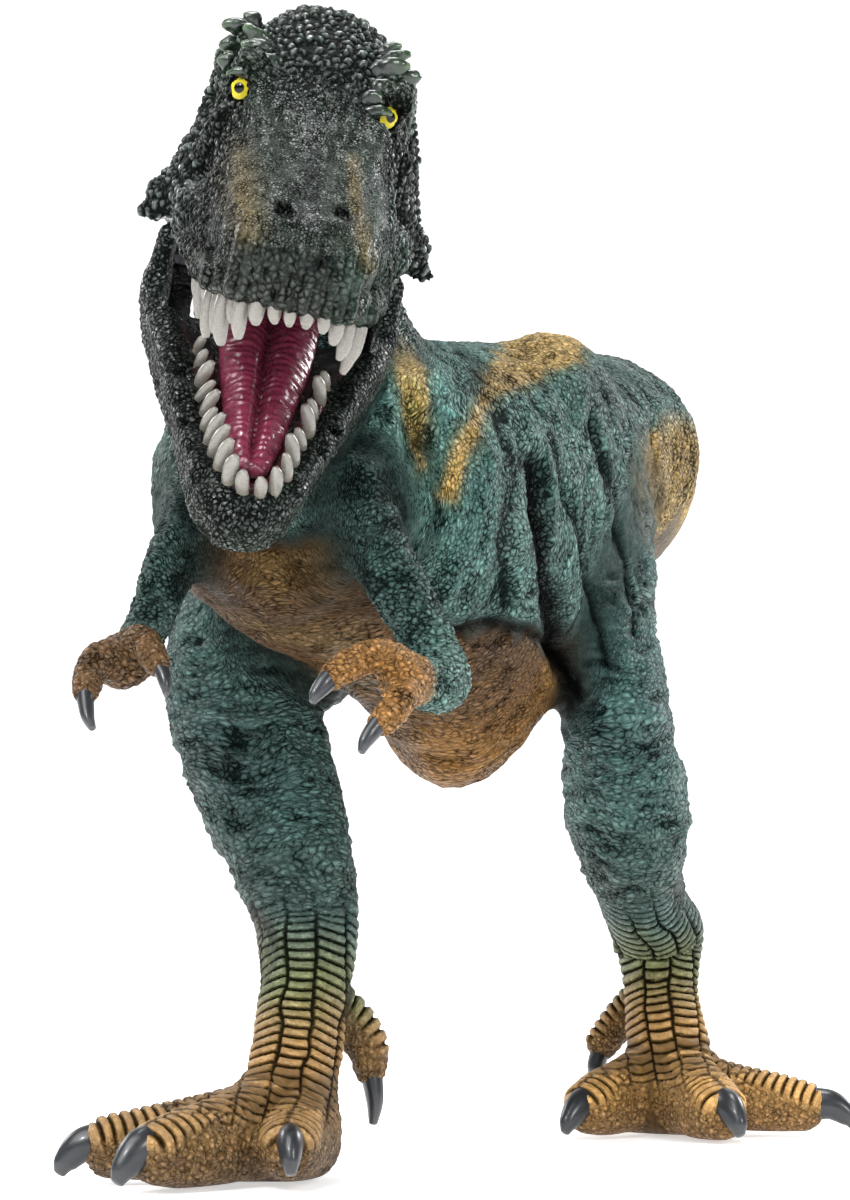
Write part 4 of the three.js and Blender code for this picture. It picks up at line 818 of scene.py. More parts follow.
def smoothr(nt, v, a, b, c=0.0, d=1.0):
    m = nt.nodes.new("ShaderNodeMapRange"); m.interpolation_type = "SMOOTHSTEP"; nt.links.new(v, m.inputs[0])
    for k, x in enumerate((a, b, c, d)):
        m.inputs[k + 1].default_value = x
    return m.outputs[0]
def skin_material(name, wash_and_shade_amount, highlight_brush, rough, spec, net, fine, relief, gap, coat, wrinkle, wash_and_shade_tint=(0.05, 0.055, 0.06)):
    """net: how much of the dark wash and painted shade follows the fine net of scales; relief: its depth in metres"""
    mat = bpy.data.materials.new(name); nt, new = nodes(mat)
    out = new("ShaderNodeOutputMaterial"); bs = new("ShaderNodeBsdfPrincipled"); link(nt, bs.outputs[0], out.inputs[0])
    vec = new("ShaderNodeTexCoord").outputs["Object"]
    paint, cav, rel, fl = attr(nt, "paint", "Color"), attr(nt, "cav"), attr(nt, "rel"), attr(nt, "flesh")
    n1, n2 = noise(nt, vec, 240, 4), noise(nt, vec, 2100, 3)
    # the net of scales follows the sculpted flow
    pat = attr(nt, "pat", "Vector")
    nz = new("ShaderNodeTexNoise"); nz.inputs["Scale"].default_value = 1.9; nz.inputs["Detail"].default_value = 3; link(nt, pat, nz.inputs["Vector"])
    va = new("ShaderNodeVectorMath"); va.operation = "MULTIPLY_ADD"; link(nt, nz.outputs["Color"], va.inputs[0]); va.inputs[1].default_value = (0.46, 0.46, 0.46); link(nt, pat, va.inputs[2])
    ed = voro(nt, va.outputs[0], 1.0, "DISTANCE_TO_EDGE"); f1 = voro(nt, va.outputs[0], 1.0)
    ed2 = voro(nt, va.outputs[0], 1.9, "DISTANCE_TO_EDGE"); fin = attr(nt, "fin")
    def blend(a, b):
        m_ = new("ShaderNodeMix"); m_.data_type = "FLOAT"; link(nt, fin, m_.inputs[0]); link(nt, a, m_.inputs[2]); link(nt, b, m_.inputs[3]); return m_.outputs[0]
    e2 = smoothr(nt, ed2, 0.0, 0.2); e1 = blend(smoothr(nt, ed, 0.0, gap), smoothr(nt, ed2, 0.0, gap)); eh = blend(smoothr(nt, ed, 0.0, 0.36), smoothr(nt, ed2, 0.0, 0.36, 0.45, 1.0))
    vary = maprange(nt, noise(nt, vec, 420, 3), 0.3, 0.7, 0.55, 1.15)
    dome = smoothr(nt, f1, 0.72, 0.05)
    nw = new("ShaderNodeTexNoise"); nw.inputs["Scale"].default_value = 0.5; nw.inputs["Detail"].default_value = 3; link(nt, pat, nw.inputs["Vector"])
    crease = math_(nt, "MULTIPLY", math_(nt, "SUBTRACT", 1.0, smoothr(nt, math_(nt, "ABSOLUTE", math_(nt, "SUBTRACT", nw.outputs[0], 0.5)), 0.0, 0.045)), wrinkle)
    # rings and columns of the scutes
    rv = new("ShaderNodeSeparateXYZ"); link(nt, attr(nt, "ring", "Vector"), rv.inputs[0])
    def tri(v):
        return math_(nt, "ABSOLUTE", math_(nt, "SUBTRACT", math_(nt, "MULTIPLY", math_(nt, "FRACT", v), 2.0), 1.0))
    ry, rx, rm = tri(rv.outputs[1]), tri(rv.outputs[0]), rv.outputs[2]
    gy = smoothr(nt, ry, 0.55, 1.0); gx = smoothr(nt, rx, 0.84, 0.98)
    groove = math_(nt, "MAXIMUM", gy, gx)
    small = math_(nt, "SUBTRACT", 1.0, math_(nt, "MULTIPLY", attr(nt, "calm"), 0.8))         # large scales are sculpted, small ones follow the net
    base_e = math_(nt, "MULTIPLY", math_(nt, "ADD", math_(nt, "MULTIPLY", math_(nt, "MULTIPLY", math_(nt, "SUBTRACT", 1.0, e1), vary), net), math_(nt, "MULTIPLY", math_(nt, "SUBTRACT", 1.0, e2), fine)), small)
    scut = math_(nt, "ADD", math_(nt, "MULTIPLY", groove, 0.66), math_(nt, "MULTIPLY", math_(nt, "SUBTRACT", 1.0, e2), 0.16))
    mx = new("ShaderNodeMix"); mx.data_type = "FLOAT"; link(nt, rm, mx.inputs[0]); link(nt, base_e, mx.inputs[2]); link(nt, scut, mx.inputs[3])
    # dark wash and painted shade: crevices, creases and gaps of the scale net darkened towards the shade tint
    wash_and_shade = math_(nt, "MINIMUM", math_(nt, "ADD", math_(nt, "ADD", cav, mx.outputs[0]), math_(nt, "MULTIPLY", math_(nt, "MULTIPLY", crease, 0.27), math_(nt, "MULTIPLY", small, math_(nt, "SUBTRACT", 1.0, rm)))), 1.0)
    wash_and_shade = math_(nt, "MULTIPLY", wash_and_shade, math_(nt, "SUBTRACT", 1.0, fl))
    c = mixc(nt, paint, mixc(nt, paint, (0.34, 0.35, 0.36), 1.0, "MULTIPLY"), maprange(nt, n1, 0.42, 0.75, 0.0, 0.24))
    w = math_(nt, "MULTIPLY", math_(nt, "MULTIPLY", wash_and_shade, wash_and_shade_amount), maprange(nt, n2, 0.25, 0.7, 0.85, 1.1))
    c = mixc(nt, c, mixc(nt, c, wash_and_shade_tint, 1.0, "MULTIPLY"), w)
    # painted highlight: dry-brushed lighter tops on the domes of the scales, standing in for glints
    hi = math_(nt, "MULTIPLY", math_(nt, "MULTIPLY", math_(nt, "SUBTRACT", 1.0, wash_and_shade), maprange(nt, rel, 0.35, 1.0, 0.25, 1.0)), highlight_brush)
    hi = math_(nt, "MULTIPLY", hi, math_(nt, "MULTIPLY", maprange(nt, dome, 0.0, 1.0, 0.15, 1.0), math_(nt, "MULTIPLY", maprange(nt, attr(nt, "gloss"), 0.4, 1.0, 0.45, 1.0), maprange(nt, n2, 0.36, 0.6, 0.4, 1.0))))
    c = mixc(nt, c, mixc(nt, mixc(nt, c, (0.42, 0.44, 0.41), 0.1), (2.5, 2.5, 2.5), 1.0, "MULTIPLY"), hi)
    link(nt, c, bs.inputs["Base Color"])
    r = math_(nt, "ADD", maprange(nt, n2, 0.3, 0.7, rough - 0.07, rough + 0.08), math_(nt, "MULTIPLY", wash_and_shade, 0.22))
    r = math_(nt, "SUBTRACT", r, math_(nt, "MULTIPLY", fl, 0.2))
    link(nt, r, bs.inputs["Roughness"])
    link(nt, math_(nt, "MULTIPLY", math_(nt, "SUBTRACT", 1.06, wash_and_shade), math_(nt, "MULTIPLY", attr(nt, "gloss"), spec)), bs.inputs["Specular IOR Level"])
    if coat:
        link(nt, math_(nt, "MULTIPLY", math_(nt, "SUBTRACT", 1.0, wash_and_shade), math_(nt, "MULTIPLY", attr(nt, "gloss"), coat)), bs.inputs["Coat Weight"]); bs.inputs["Coat Roughness"].default_value = 0.15
    bp = new("ShaderNodeBump"); bp.inputs["Strength"].default_value = 1.0; bp.inputs["Distance"].default_value = relief
    hn = math_(nt, "MULTIPLY", math_(nt, "ADD", math_(nt, "MULTIPLY", math_(nt, "SUBTRACT", eh, crease), 0.7), math_(nt, "ADD", math_(nt, "MULTIPLY", dome, 0.45), math_(nt, "MULTIPLY", e2, 0.12))), small)
    hs_ = math_(nt, "ADD", math_(nt, "MULTIPLY", math_(nt, "SUBTRACT", 1.0, groove), 1.3), math_(nt, "MULTIPLY", e2, 0.12))
    mh = new("ShaderNodeMix"); mh.data_type = "FLOAT"; link(nt, rm, mh.inputs[0]); link(nt, hn, mh.inputs[2]); link(nt, hs_, mh.inputs[3])
    hgt = math_(nt, "ADD", mh.outputs[0], math_(nt, "MULTIPLY", n2, 0.25))
    link(nt, hgt, bp.inputs["Height"]); link(nt, bp.outputs[0], bs.inputs["Normal"])
    return mat
M_BODY = skin_material("body_skin", 1.0, 0.7, 0.40, 0.6, 0.66, 0.1, 0.00045, 0.24, 0.0, 1.0)
M_HEAD = skin_material("head_scales", 1.0, 0.7, 0.27, 0.8, 1.0, 0.08, 0.00028, 0.34, 0.7, 0.5)

def ramp_material(name, stops, rough, spec, streak=(1, 1, 1), bump_s=0.2, scale=900, coat=0.0, dark=0.35):
    """colour from attribute k (0 root, 1 tip) broken by streaks"""
    mat = bpy.data.materials.new(name); nt, new = nodes(mat)
    out = new("ShaderNodeOutputMaterial"); bs = new("ShaderNodeBsdfPrincipled"); link(nt, bs.outputs[0], out.inputs[0])
    co = new("ShaderNodeTexCoord").outputs["Object"]
    mp = new("ShaderNodeMapping"); mp.inputs["Scale"].default_value = streak; link(nt, co, mp.inputs["Vector"])
    k = attr(nt, "k")
    n1, n2 = noise(nt, mp.outputs[0], scale, 4), noise(nt, co, scale * 2.3, 3)
    kk = math_(nt, "ADD", k, maprange(nt, n1, 0.2, 0.8, -0.14, 0.14))
    r = new("ShaderNodeValToRGB"); link(nt, kk, r.inputs[0])
    while len(r.color_ramp.elements) < len(stops):
        r.color_ramp.elements.new(0.5)
    for e, (p, c) in zip(r.color_ramp.elements, stops):
        e.position = p; e.color = (*[float(x) for x in lin(c)], 1)
    c = mixc(nt, r.outputs[0], mixc(nt, r.outputs[0], (dark, dark * 0.92, dark * 0.85), 1.0, "MULTIPLY"), maprange(nt, n1, 0.5, 0.72, 0.0, 0.5))
    # painted shade: darker in the hollows marked by the cav attribute
    cv = attr(nt, "cav")
    c = mixc(nt, c, mixc(nt, c, (0.22, 0.18, 0.15), 1.0, "MULTIPLY"), cv)
    link(nt, c, bs.inputs["Base Color"])
    link(nt, maprange(nt, n2, 0.3, 0.7, rough - 0.05, rough + 0.09), bs.inputs["Roughness"])
    bs.inputs["Specular IOR Level"].default_value = spec
    if coat:
        bs.inputs["Coat Weight"].default_value = coat; bs.inputs["Coat Roughness"].default_value = 0.12
    bp = new("ShaderNodeBump"); bp.inputs["Strength"].default_value = bump_s; bp.inputs["Distance"].default_value = 0.0001
    link(nt, math_(nt, "ADD", n1, math_(nt, "MULTIPLY", n2, 0.4)), bp.inputs["Height"]); link(nt, bp.outputs[0], bs.inputs["Normal"])
    return mat
M_TOOTH = ramp_material("ivory_teeth", [(0.0, (84, 60, 46)), (0.12, (128, 116, 98)), (0.36, (120, 117, 110)), (1.0, (133, 130, 123))], 0.26, 0.5, (1, 1, 0.35), 0.12, 700, 0.5, 0.8)
M_CLAW = ramp_material("claw_horn", [(0.0, (40, 34, 28)), (0.25, (30, 32, 35)), (0.7, (38, 41, 46)), (1.0, (66, 68, 70))], 0.34, 0.5, (1, 1, 1), 0.25, 800, 0.25, 0.45)
M_TONGUE = ramp_material("tongue_flesh", [(0.0, (44, 10, 24)), (0.4, (104, 28, 54)), (1.0, (128, 48, 72))], 0.26, 0.6, (1, 1, 1), 0.5, 1100, 0.5, 0.6)
M_MOUTH = ramp_material("mouth_lining", [(0.0, (34, 8, 14)), (1.0, (74, 22, 32))], 0.3, 0.55, (1, 1, 1), 0.3, 900, 0.3, 0.6)
M_SCUTE = ramp_material("brow_scutes", [(0.0, (10, 16, 13)), (0.45, (20, 34, 26)), (0.8, (44, 66, 44)), (1.0, (92, 112, 78))], 0.28, 0.6, (1, 1, 1), 0.35, 1100, 0.3, 0.4)
M_EYE = None

# ------------------------------------------------------------------ the skin, split where the pieces meet
t1 = time.time()
C0 = V0[Q0].mean(1)
Fg = np.stack([FD.sample(G[g], C0) for g in ("trunk", "head", "right_leg", "left_leg", "right_arm", "left_arm")])
lab = Fg.argmin(0)
tt = path(C0, TRUNK, (0, 0, 1))
lab = np.where((lab == 0) & (tt[:, 0] > 8.5), 6, lab)
NAMES = ["torso", "head_and_neck", "right_leg", "left_leg", "right_arm", "left_arm", "tail"]
# drop anything that isn't on the main surface
def islands(Q, nv):
    root = np.arange(nv)
    E = np.concatenate([Q[:, [0, 1]], Q[:, [1, 2]], Q[:, [2, 3]], Q[:, [3, 0]]])
    for _ in range(200):
        a = np.minimum(root[E[:, 0]], root[E[:, 1]])
        new_ = root.copy()
        np.minimum.at(new_, E[:, 0], a); np.minimum.at(new_, E[:, 1], a)
        new_ = new_[new_]; new_ = new_[new_]
        if (new_ == root).all():
            break
        root = new_
    return root
root = islands(Q0, len(V0))
vals, cnt = np.unique(root[Q0[:, 0]], return_counts=True)
keep = np.isin(root[Q0[:, 0]], vals[cnt > 3000])
Q0, lab, C0 = Q0[keep], lab[keep], C0[keep]
print("islands", cnt[cnt > 50], round(time.time() - t1, 1))
tmp = mesh_np("whole", V0, Q0); VN0 = get_no(tmp); bpy.data.meshes.remove(tmp)
for k, nm in enumerate(NAMES):
    f_in = lab == k
    v_in = np.zeros(len(V0), bool); v_in[Q0[f_in].ravel()] = True
    ring = np.where(v_in, 0, 9)
    band = f_in.copy()
    for r_ in (1, 2):
        add_f = v_in[Q0].any(1) & ~band
        band |= add_f
        nv = np.zeros(len(V0), bool); nv[Q0[band].ravel()] = True
        ring = np.where(nv & ~v_in & (ring == 9), r_, ring)
        v_in = nv
    used = np.unique(Q0[band])
    remap = np.zeros(len(V0), int); remap[used] = np.arange(len(used))
    Vp = V0[used].copy(); off = np.array([0, 0.28, 0.75])[np.clip(ring[used], 0, 2)]
    Vp -= VN0[used] * off[:, None]
    me = mesh_np(nm + "_c", to_m(Vp), remap[Q0[band]])
    tq = time.time()
    ob = bpy.data.objects.new("uvtmp", me); bpy.context.collection.objects.link(ob)
    unwrap(ob)
    bpy.data.objects.remove(ob)
    tuv = time.time() - tq
    level = 2 if nm == "head_and_neck" else 1
    me = subdivide(me, level)
    P, N = to_d(get_co(me)), get_no(me)
    h, cav, rnd, col, fl, pat, ring_, rm_, calm_, gloss_, fin_ = relief_and_paint(P, N)
    z = P[:, 2]
    P2 = P + N * (h - 0.12)[:, None]
    P2[:, 2] = np.maximum(P2[:, 2], 0.0)
    set_co(me, to_m(P2))
    put(me, "paint", col); put(me, "cav", cav); put(me, "rel", np.clip(1 - cav, 0, 1) * (0.6 + 0.4 * rnd)); put(me, "flesh", fl)
    put(me, "calm", calm_); put(me, "gloss", gloss_); put(me, "fin", fin_)
    putv(me, "pat", pat); putv(me, "ring", np.concatenate([ring_, rm_[:, None]], 1))
    me.name = nm + "_skin"
    piece("skin_" + nm, me, "figure", "head_skin" if nm == "head_and_neck" else "skin", M_HEAD if nm == "head_and_neck" else M_BODY, nm)
    print(nm, len(me.polygons), "uv", round(tuv, 1), "t", round(time.time() - t1, 1))

# root, tip, half width; front view, from the figure's right to its left, then the pairs hidden at the back
UP_TEETH = [((24.2, -10.6, 3.0), (23.7, -9.7, -3.2), .62), ((29.4, -9.8, 3.0), (28.9, -9.3, -.4), .6), ((33.4, -9.0, 2.8), (32.8, -8.6, -3.8), .80), ((35.4, -8.3, 2.8), (34.9, -7.8, -2.8), .62),
            ((37.4, -7.5, 3.3), (36.9, -6.8, -3.6), .98), ((39.2, -6.5, 3.6), (38.7, -6.1, -.5), .70), ((40.6, -5.4, 4.0), (40.1, -5.0, -1.9), .93), ((42.0, -3.6, 4.1), (41.5, -3.45, .45), .93),
            ((42.8, -1.75, 4.2), (42.3, -1.3, 1.2), .82), ((43.2, 0.0, 4.2), (42.8, .4, 1.3), .74), ((42.8, 1.85, 4.3), (42.3, 2.4, 1.4), .82), ((41.9, 3.9, 4.1), (41.4, 4.55, 1.1), .76),
            ((40.3, 5.8, 3.9), (39.8, 6.15, -.15), .88), ((37.4, 7.6, 3.0), (36.9, 7.55, -2.3), .84), ((33.2, 9.0, 2.4), (32.4, 8.7, -4.6), .80), ((28.4, 10.0, 2.4), (27.8, 9.7, -4.0), .66),
            ((24.4, 10.5, 2.6), (23.9, 10.0, -2.2), .62), ((20.8, -10.9, 3.0), (20.4, -10.3, -1.6), .62), ((20.8, 10.9, 3.0), (20.4, 10.3, -1.2), .62), ((17.4, -11.2, 3.2), (17.0, -10.7, 0.4), .55), ((17.4, 11.2, 3.2), (17.0, 10.7, 0.4), .55)]

# ------------------------------------------------------------------ the lower jaw's skin, in its own frame
JF = Field((-11, -23, -17), (53, 23, 8), 0.5, 12)
JA = JF.of(*loft([[*r[:5], r[5] - {27: 0.7, 38: 1.2, 44: 1.1, 46.8: 0.6}.get(r[0], 0)] for r in JAW], cap=(4, 1.4), seg=64, per=10, power=2.4))
jsl, JP = JF.coords()
JS = JP.copy(); JS[..., 1] = np.abs(JS[..., 1])
def jadd(fn, k):
    global JA
    JA = smin(JA, fn(JS).astype(np.float32), k)
jadd(lambda S: caps(S, (44.6, 0.6, -1.7), (40.6, 5.6, -1.5), 1.5, 1.5), 1.2)
jadd(lambda S: caps(S, (40.6, 5.6, -1.5), (27, 9.6, -1.5), 1.5, 1.6), 1.2)
jadd(lambda S: caps(S, (27, 9.6, -1.5), (12, 13.6, -1.6), 1.6, 1.9), 1.4)
jadd(lambda S: ell(S, (40.5, 0, -6.4), (5.2, 5.2, 3.2)), 2.4)
jadd(lambda S: ramus(S, 1.7), 2.0)
JH = JF.of(*loft(JAW_ROOM, cap=(3, 1), seg=48, per=8))
JA = smax(JA, -JH, 0.5)
JA = smax(JA, -np.maximum(np.abs(JP[..., 1]) - 10.2, JP[..., 0] - 4.5).astype(np.float32), 0.4)
JA = smax(JA, -np.maximum(np.maximum(np.abs(JP[..., 1]) - 13.2, np.abs(JP[..., 0] - 4.4) - 6.0), -5.0 - JP[..., 2]).astype(np.float32), 0.5)
for root_, tip_, r_ in UP_TEETH:
    for dg in (7.2, 8.6):
        a_, b_ = (head_to_jaw(np.array(v_), math.radians(dg)) for v_ in (root_, tip_))
        b_ = b_ + 0.35 * unit(b_ - a_)
        JA = smax(JA, -caps(JP, a_, b_, r_ + 0.4, r_ + 0.25).astype(np.float32), 0.3)
Vj, Qj_ = JF.mesh(JA)
rj = islands(Qj_, len(Vj)); vals, cnt = np.unique(rj[Qj_[:, 0]], return_counts=True)
Qj_ = Qj_[np.isin(rj[Qj_[:, 0]], vals[cnt > 500])]
me = mesh_np("jaw_c", to_m(jaw(Vj)), Qj_)
ob = bpy.data.objects.new("uvtmp", me); bpy.context.collection.objects.link(ob)
unwrap(ob)
bpy.data.objects.remove(ob)
me = subdivide(me, 1)
P, N = to_d(get_co(me)), get_no(me)
q = head_to_jaw(head_inv(P)); nn = head_to_jaw(N @ HM.T)
hol = JF.sample(JH, q)
rowd = np.interp(q[:, 0], [10, 22, 30, 37, 40, 43, 45], [9.4, 8.1, 6.8, 5.3, 4.3, 3.0, 1.0])
ins = np.maximum(1 - sstep(0.2, 0.8, np.abs(hol)), sstep(-0.2, -0.9, np.abs(q[:, 1]) - rowd) * sstep(-2.6, -1.6, q[:, 2]) * sstep(45.2, 44.0, q[:, 0]))
ins = np.maximum(ins, sstep(14.6, 13.9, np.abs(q[:, 1])) * sstep(11, 9, q[:, 0]) * sstep(-9.5, -8, q[:, 2]))
hb, cb, ib = pebbles(q, nn, 1.4, 71, 0.7, 0.34)
hf, cf, if_ = pebbles(q, nn, 1.05, 72, 0.7, 0.34)
lipm = sstep(-5.5, -3.5, q[:, 2])
hh = lerp(hb * 0.24 * (0.7 + 0.6 * ib), hf * 0.14, lipm); cc = 0.35 * lerp(cb, cf, lipm)
fo = folds(q * np.array([0.5, 1, 1]), 5.0, 73)
hh = (hh + 0.22 * fo) * (1 - ins) + ins * 0.12 * vnoise(q, 1.3, 74)
# the jaw's skin lighter at the chin, and lighter towards the figure's left side as painted light
col = np.tile(C_DARK, (len(P), 1)) * ((0.66 + 0.4 * ib) * lerp(1.0, 2.6, sstep(30, 42, q[:, 0]) * sstep(-2, -5, q[:, 2])) * lerp(0.66, 1.45, sstep(-4, 6, q[:, 1])))[:, None]
col = mix(col, lin((74, 84, 66)), 0.55 * sstep(12, 34, q[:, 0]) * sstep(-2, -6, q[:, 2]))
col = mix(col, lin((138, 112, 74)), 0.6 * sstep(30, 42, q[:, 0]) * sstep(-7.0, -10.0, q[:, 2]))
col = mix(col, lin((46, 66, 62)), 0.5 * sstep(14, 2, q[:, 0]))
# painted shade: the inside of the jaw darkens from flesh to black towards the back
col = mix(col, mix(C_FLESH * (0.7 + 0.5 * vnoise(P, 2, 75))[:, None], C_BLACK * 0.5, sstep(19, 10, q[:, 0])), ins)
set_co(me, to_m(P + N * (hh - 0.1)[:, None]))
put(me, "paint", np.clip(col, 0.001, 1)); put(me, "cav", np.clip(cc * (1 - ins), 0, 1)); put(me, "rel", (1 - cc) * (0.6 + 0.4 * ib) * (1 - ins)); put(me, "flesh", ins)
put(me, "calm", np.zeros(len(q))); put(me, "gloss", np.ones(len(q))); put(me, "fin", 0.25 * lipm); putv(me, "pat", q / 0.68); putv(me, "ring", np.zeros((len(q), 3)))
me.name = "jaw_skin"
piece("skin_lower_jaw", me, "jaw", "head_skin", M_HEAD, "lower_jaw")
print("jaw", len(me.polygons), round(time.time() - t1, 1))

# ------------------------------------------------------------------ lofted hard pieces
def stack(parts):
    V, Q, T, K, n = [], [], [], [], 0
    for v, q_, t_, k_ in parts:
        V.append(v); Q.append(q_ + n); T.append(t_ + n); K.append(k_); n += len(v)
    return np.vstack(V), np.vstack(Q), np.vstack(T), np.concatenate(K)
def rod(st, ref, cap, seg=20, per=6, M=None):
    v, q_, t_ = loft(st, ref=ref, cap=cap, seg=seg, per=per)
    nr = (len(v) - 2) // seg
    k = np.concatenate([[0], np.repeat(np.linspace(0, 1, nr), seg), [1]])
    if M is not None:
        v = M(v)
    return v, q_, t_, k
def hard(name, parts, body, slot, mat, *nodes_, disp=None, to=None):
    V, Q, T, K = stack(parts)
    me = mesh_np(name, to_m(V), Q, T)
    bm = bmesh.new(); bm.from_mesh(me); bmesh.ops.recalc_face_normals(bm, faces=bm.faces); bm.to_mesh(me); bm.free()
    me.polygons.foreach_set("use_smooth", np.ones(len(me.polygons), bool))
    cav = np.zeros(len(V))
    if disp is not None:
        N = get_no(me); h_, cav = disp(V, N, K)
        set_co(me, to_m(V + N * h_[:, None]))
    put(me, "k", K); put(me, "cav", cav)
    return piece(name, me, body, slot, mat, *nodes_)

UPPER_ROW = [[41.4, 1.5, 4.4, 3.6, .85], [40.6, 4.1, 4.3, 3.8, .95], [38.4, 6.3, 4.3, 4.8, 1.05], [35.4, 7.8, 4.3, 6.6, 1.2],
             [32, 8.6, 4.3, 7.4, 1.25], [28.6, 9, 4.3, 7.2, 1.25], [25.2, 9.2, 4.4, 6, 1.15], [22, 9.2, 4.5, 4.8, 1.05]]
LOWER_ROW = [[44.4, 1.2, 0, 2.6, .85], [42.9, 3.1, 0, 3, .95], [40.2, 4.4, 0, 3.5, 1.05], [37.2, 5.2, 0, 3.7, 1.1], [34.2, 5.9, 0, 3.7, 1.1],
             [31.2, 6.5, 0, 3.6, 1.1], [28.2, 7.1, 0, 3.4, 1.1], [25.2, 7.6, .1, 3.1, 1.05], [22.2, 8.1, .2, 2.8, 1]]
_r = np.random.default_rng(11)
# root, tip, half width; front view, from the figure's right to its left
LOW_TEETH = [((21.5, -8.3, -.4), (21.5, -7.8, 2.3), .64), ((25.3, -7.8, -.4), (25.3, -6.9, 3.6), .80), ((28.2, -7.7, -.4), (28.1, -6.2, 2.9), .60), ((30.8, -6.6, -.4), (30.8, -5.6, 3.6), .76),
             ((33.9, -6.3, -.4), (33.9, -5.5, 3.3), .64), ((36.4, -5.5, -.4), (36.4, -4.6, 4.6), .76), ((38.7, -4.7, -.4), (38.7, -3.8, 4.8), .82), ((41.0, -3.7, -.4), (41.0, -3.1, 4.6), .86),
             ((43.1, -2.2, -.4), (43.1, -2.25, 4.0), .92), ((44.3, -.3, -.4), (44.2, -.85, 2.9), .84), ((44.2, 1.65, -.4), (44.1, 1.35, 2.4), .80), ((43.1, 3.4, -.4), (43.0, 2.9, 3.5), .80),
             ((40.4, 4.7, -.4), (40.2, 3.8, 3.7), .70), ((36.9, 5.3, -.4), (36.6, 4.0, 3.8), .86), ((33.3, 6.2, -.4), (33.1, 5.0, 2.3), .70), ((30.4, 6.8, -.4), (30.1, 5.4, 3.8), .86),
             ((26.8, 7.2, -.4), (26.6, 6.1, 2.2), .66), ((23.6, 7.7, -.4), (23.3, 6.5, 3.4), .80), ((19.9, 8.2, -.4), (19.7, 7.4, 1.6), .68), ((18.0, -8.8, -.4), (18.0, -8.3, 1.8), .6)]
def tooth_parts(row, M):
    out = []
    for root_, tip_, r in row:
        a_, b_ = np.array(root_), np.array(tip_)
        d_ = b_ - a_; L2 = np.linalg.norm(d_); j = _r.random(3) - 0.5
        side_ = unit((0.35, np.sign(a_[1]) * 1.0, 0)) * (0.05 * L2 + 0.05 * j[0])
        st = []
        for k, rr in ((-0.9 / L2, 0.82), (0.0, 0.90), (0.25, 1.0), (0.5, 1.06), (0.72, 1.02), (0.88, 0.86), (1.0, 0.6)):
            p_ = a_ + d_ * k + side_ * 4 * max(k, 0) * (1 - k)
            st.append([*p_, r * rr, r * rr * 0.9, r * rr * 0.9])
        out.append(rod(st, (1, 0, 0), (0.3, r * 0.36), 20, 5, M))
    return out
def tooth_disp(V, N, K):
    s = vnoise(V, 0.9, 81)
    # painted shade at the root of each tooth, returned as cav
    return 0.045 * s, 0.55 * sstep(0.2, 0.06, K)
def rail(row, dz, r, M, z1=0):
    pts = [[t[0], -t[1], t[2] + dz, r, r, r] for t in row[::-1]] + [[t[0], t[1], t[2] + dz, r, r, r] for t in row]
    return rod(pts, (0, 0, 1), (r, r), 16, 8, M)
hard("teeth_upper", tooth_parts(UP_TEETH, head), "figure", "ivory", M_TOOTH, "upper_teeth", disp=tooth_disp)
hard("teeth_lower", tooth_parts(LOW_TEETH, jaw), "jaw", "ivory", M_TOOTH, "lower_teeth", disp=tooth_disp)
def gum_disp(V, N, K):
    # painted shade in the dips of the gum, returned as cav
    return 0.16 * vnoise(V, 1.2, 82) + 0.05 * vnoise(V, 0.5, 83), 0.4 * sstep(0.1, -0.6, vnoise(V, 1.2, 82))
hard("gum_upper", [rail(UPPER_ROW, 1.3, 1.0, head)], "figure", "mouth", M_MOUTH, disp=gum_disp)
hard("gum_lower", [rail([[t[0] - 0.4, t[1] - 0.4, t[2], t[3], t[4]] for t in LOWER_ROW], -1.1, 1.1, jaw)], "jaw", "mouth", M_MOUTH, disp=gum_disp)

# tongue: two lobes with a groove between them, wrinkled across
tv, tq_, tt_, tk = rod([[*r[:3], r[3], r[4] * 1.0, r[5]] for r in TONGUE], (0, 0, 1), (1.2, 0.8), 120, 60, None)
def tongue_part():
    v = tv.copy()
    w = np.interp(v[:, 0], [r[0] for r in TONGUE], [r[3] for r in TONGUE])
    x = v[:, 1] / w
    top = sstep(-0.9, -0.1, v[:, 2] + 0.7)
    v[:, 2] += top * (-1.25 * np.exp(-(x / 0.16) ** 2) + 0.55 * np.exp(-((np.abs(x) - 0.48) / 0.3) ** 2)) * sstep(40, 34, v[:, 0])
    wr = v[:, 0] * (2 * math.pi / 1.2) + 3.8 * vnoise(v, 3.0, 91) + 1.6 * vnoise(v, 1.4, 94) + 1.2 * np.abs(x)
    v[:, 2] += top * 0.13 * np.sin(wr) * (0.55 + 0.45 * vnoise(v, 1.3, 92)) + top * 0.14 * vnoise(v, 0.8, 93)
    # painted shade: the tongue darker underneath, towards the back, in the central groove and in the wrinkle troughs
    k = np.clip(0.15 + 0.6 * top + 0.2 * (v[:, 0] / 40), 0, 1)
    cv_ = top * (0.55 * np.exp(-(x / 0.13) ** 2) + 0.3 * sstep(-0.3, -1, np.sin(wr)))
    return jaw(v), k, cv_
jv, jk, jc = tongue_part()
me = mesh_np("tongue_m", to_m(jv), tq_, tt_)
bm = bmesh.new(); bm.from_mesh(me); bmesh.ops.recalc_face_normals(bm, faces=bm.faces); bm.to_mesh(me); bm.free()
me.polygons.foreach_set("use_smooth", np.ones(len(me.polygons), bool))
put(me, "k", jk); put(me, "cav", jc)
piece("tongue_soft", me, "jaw", "mouth", M_TONGUE, "tongue")

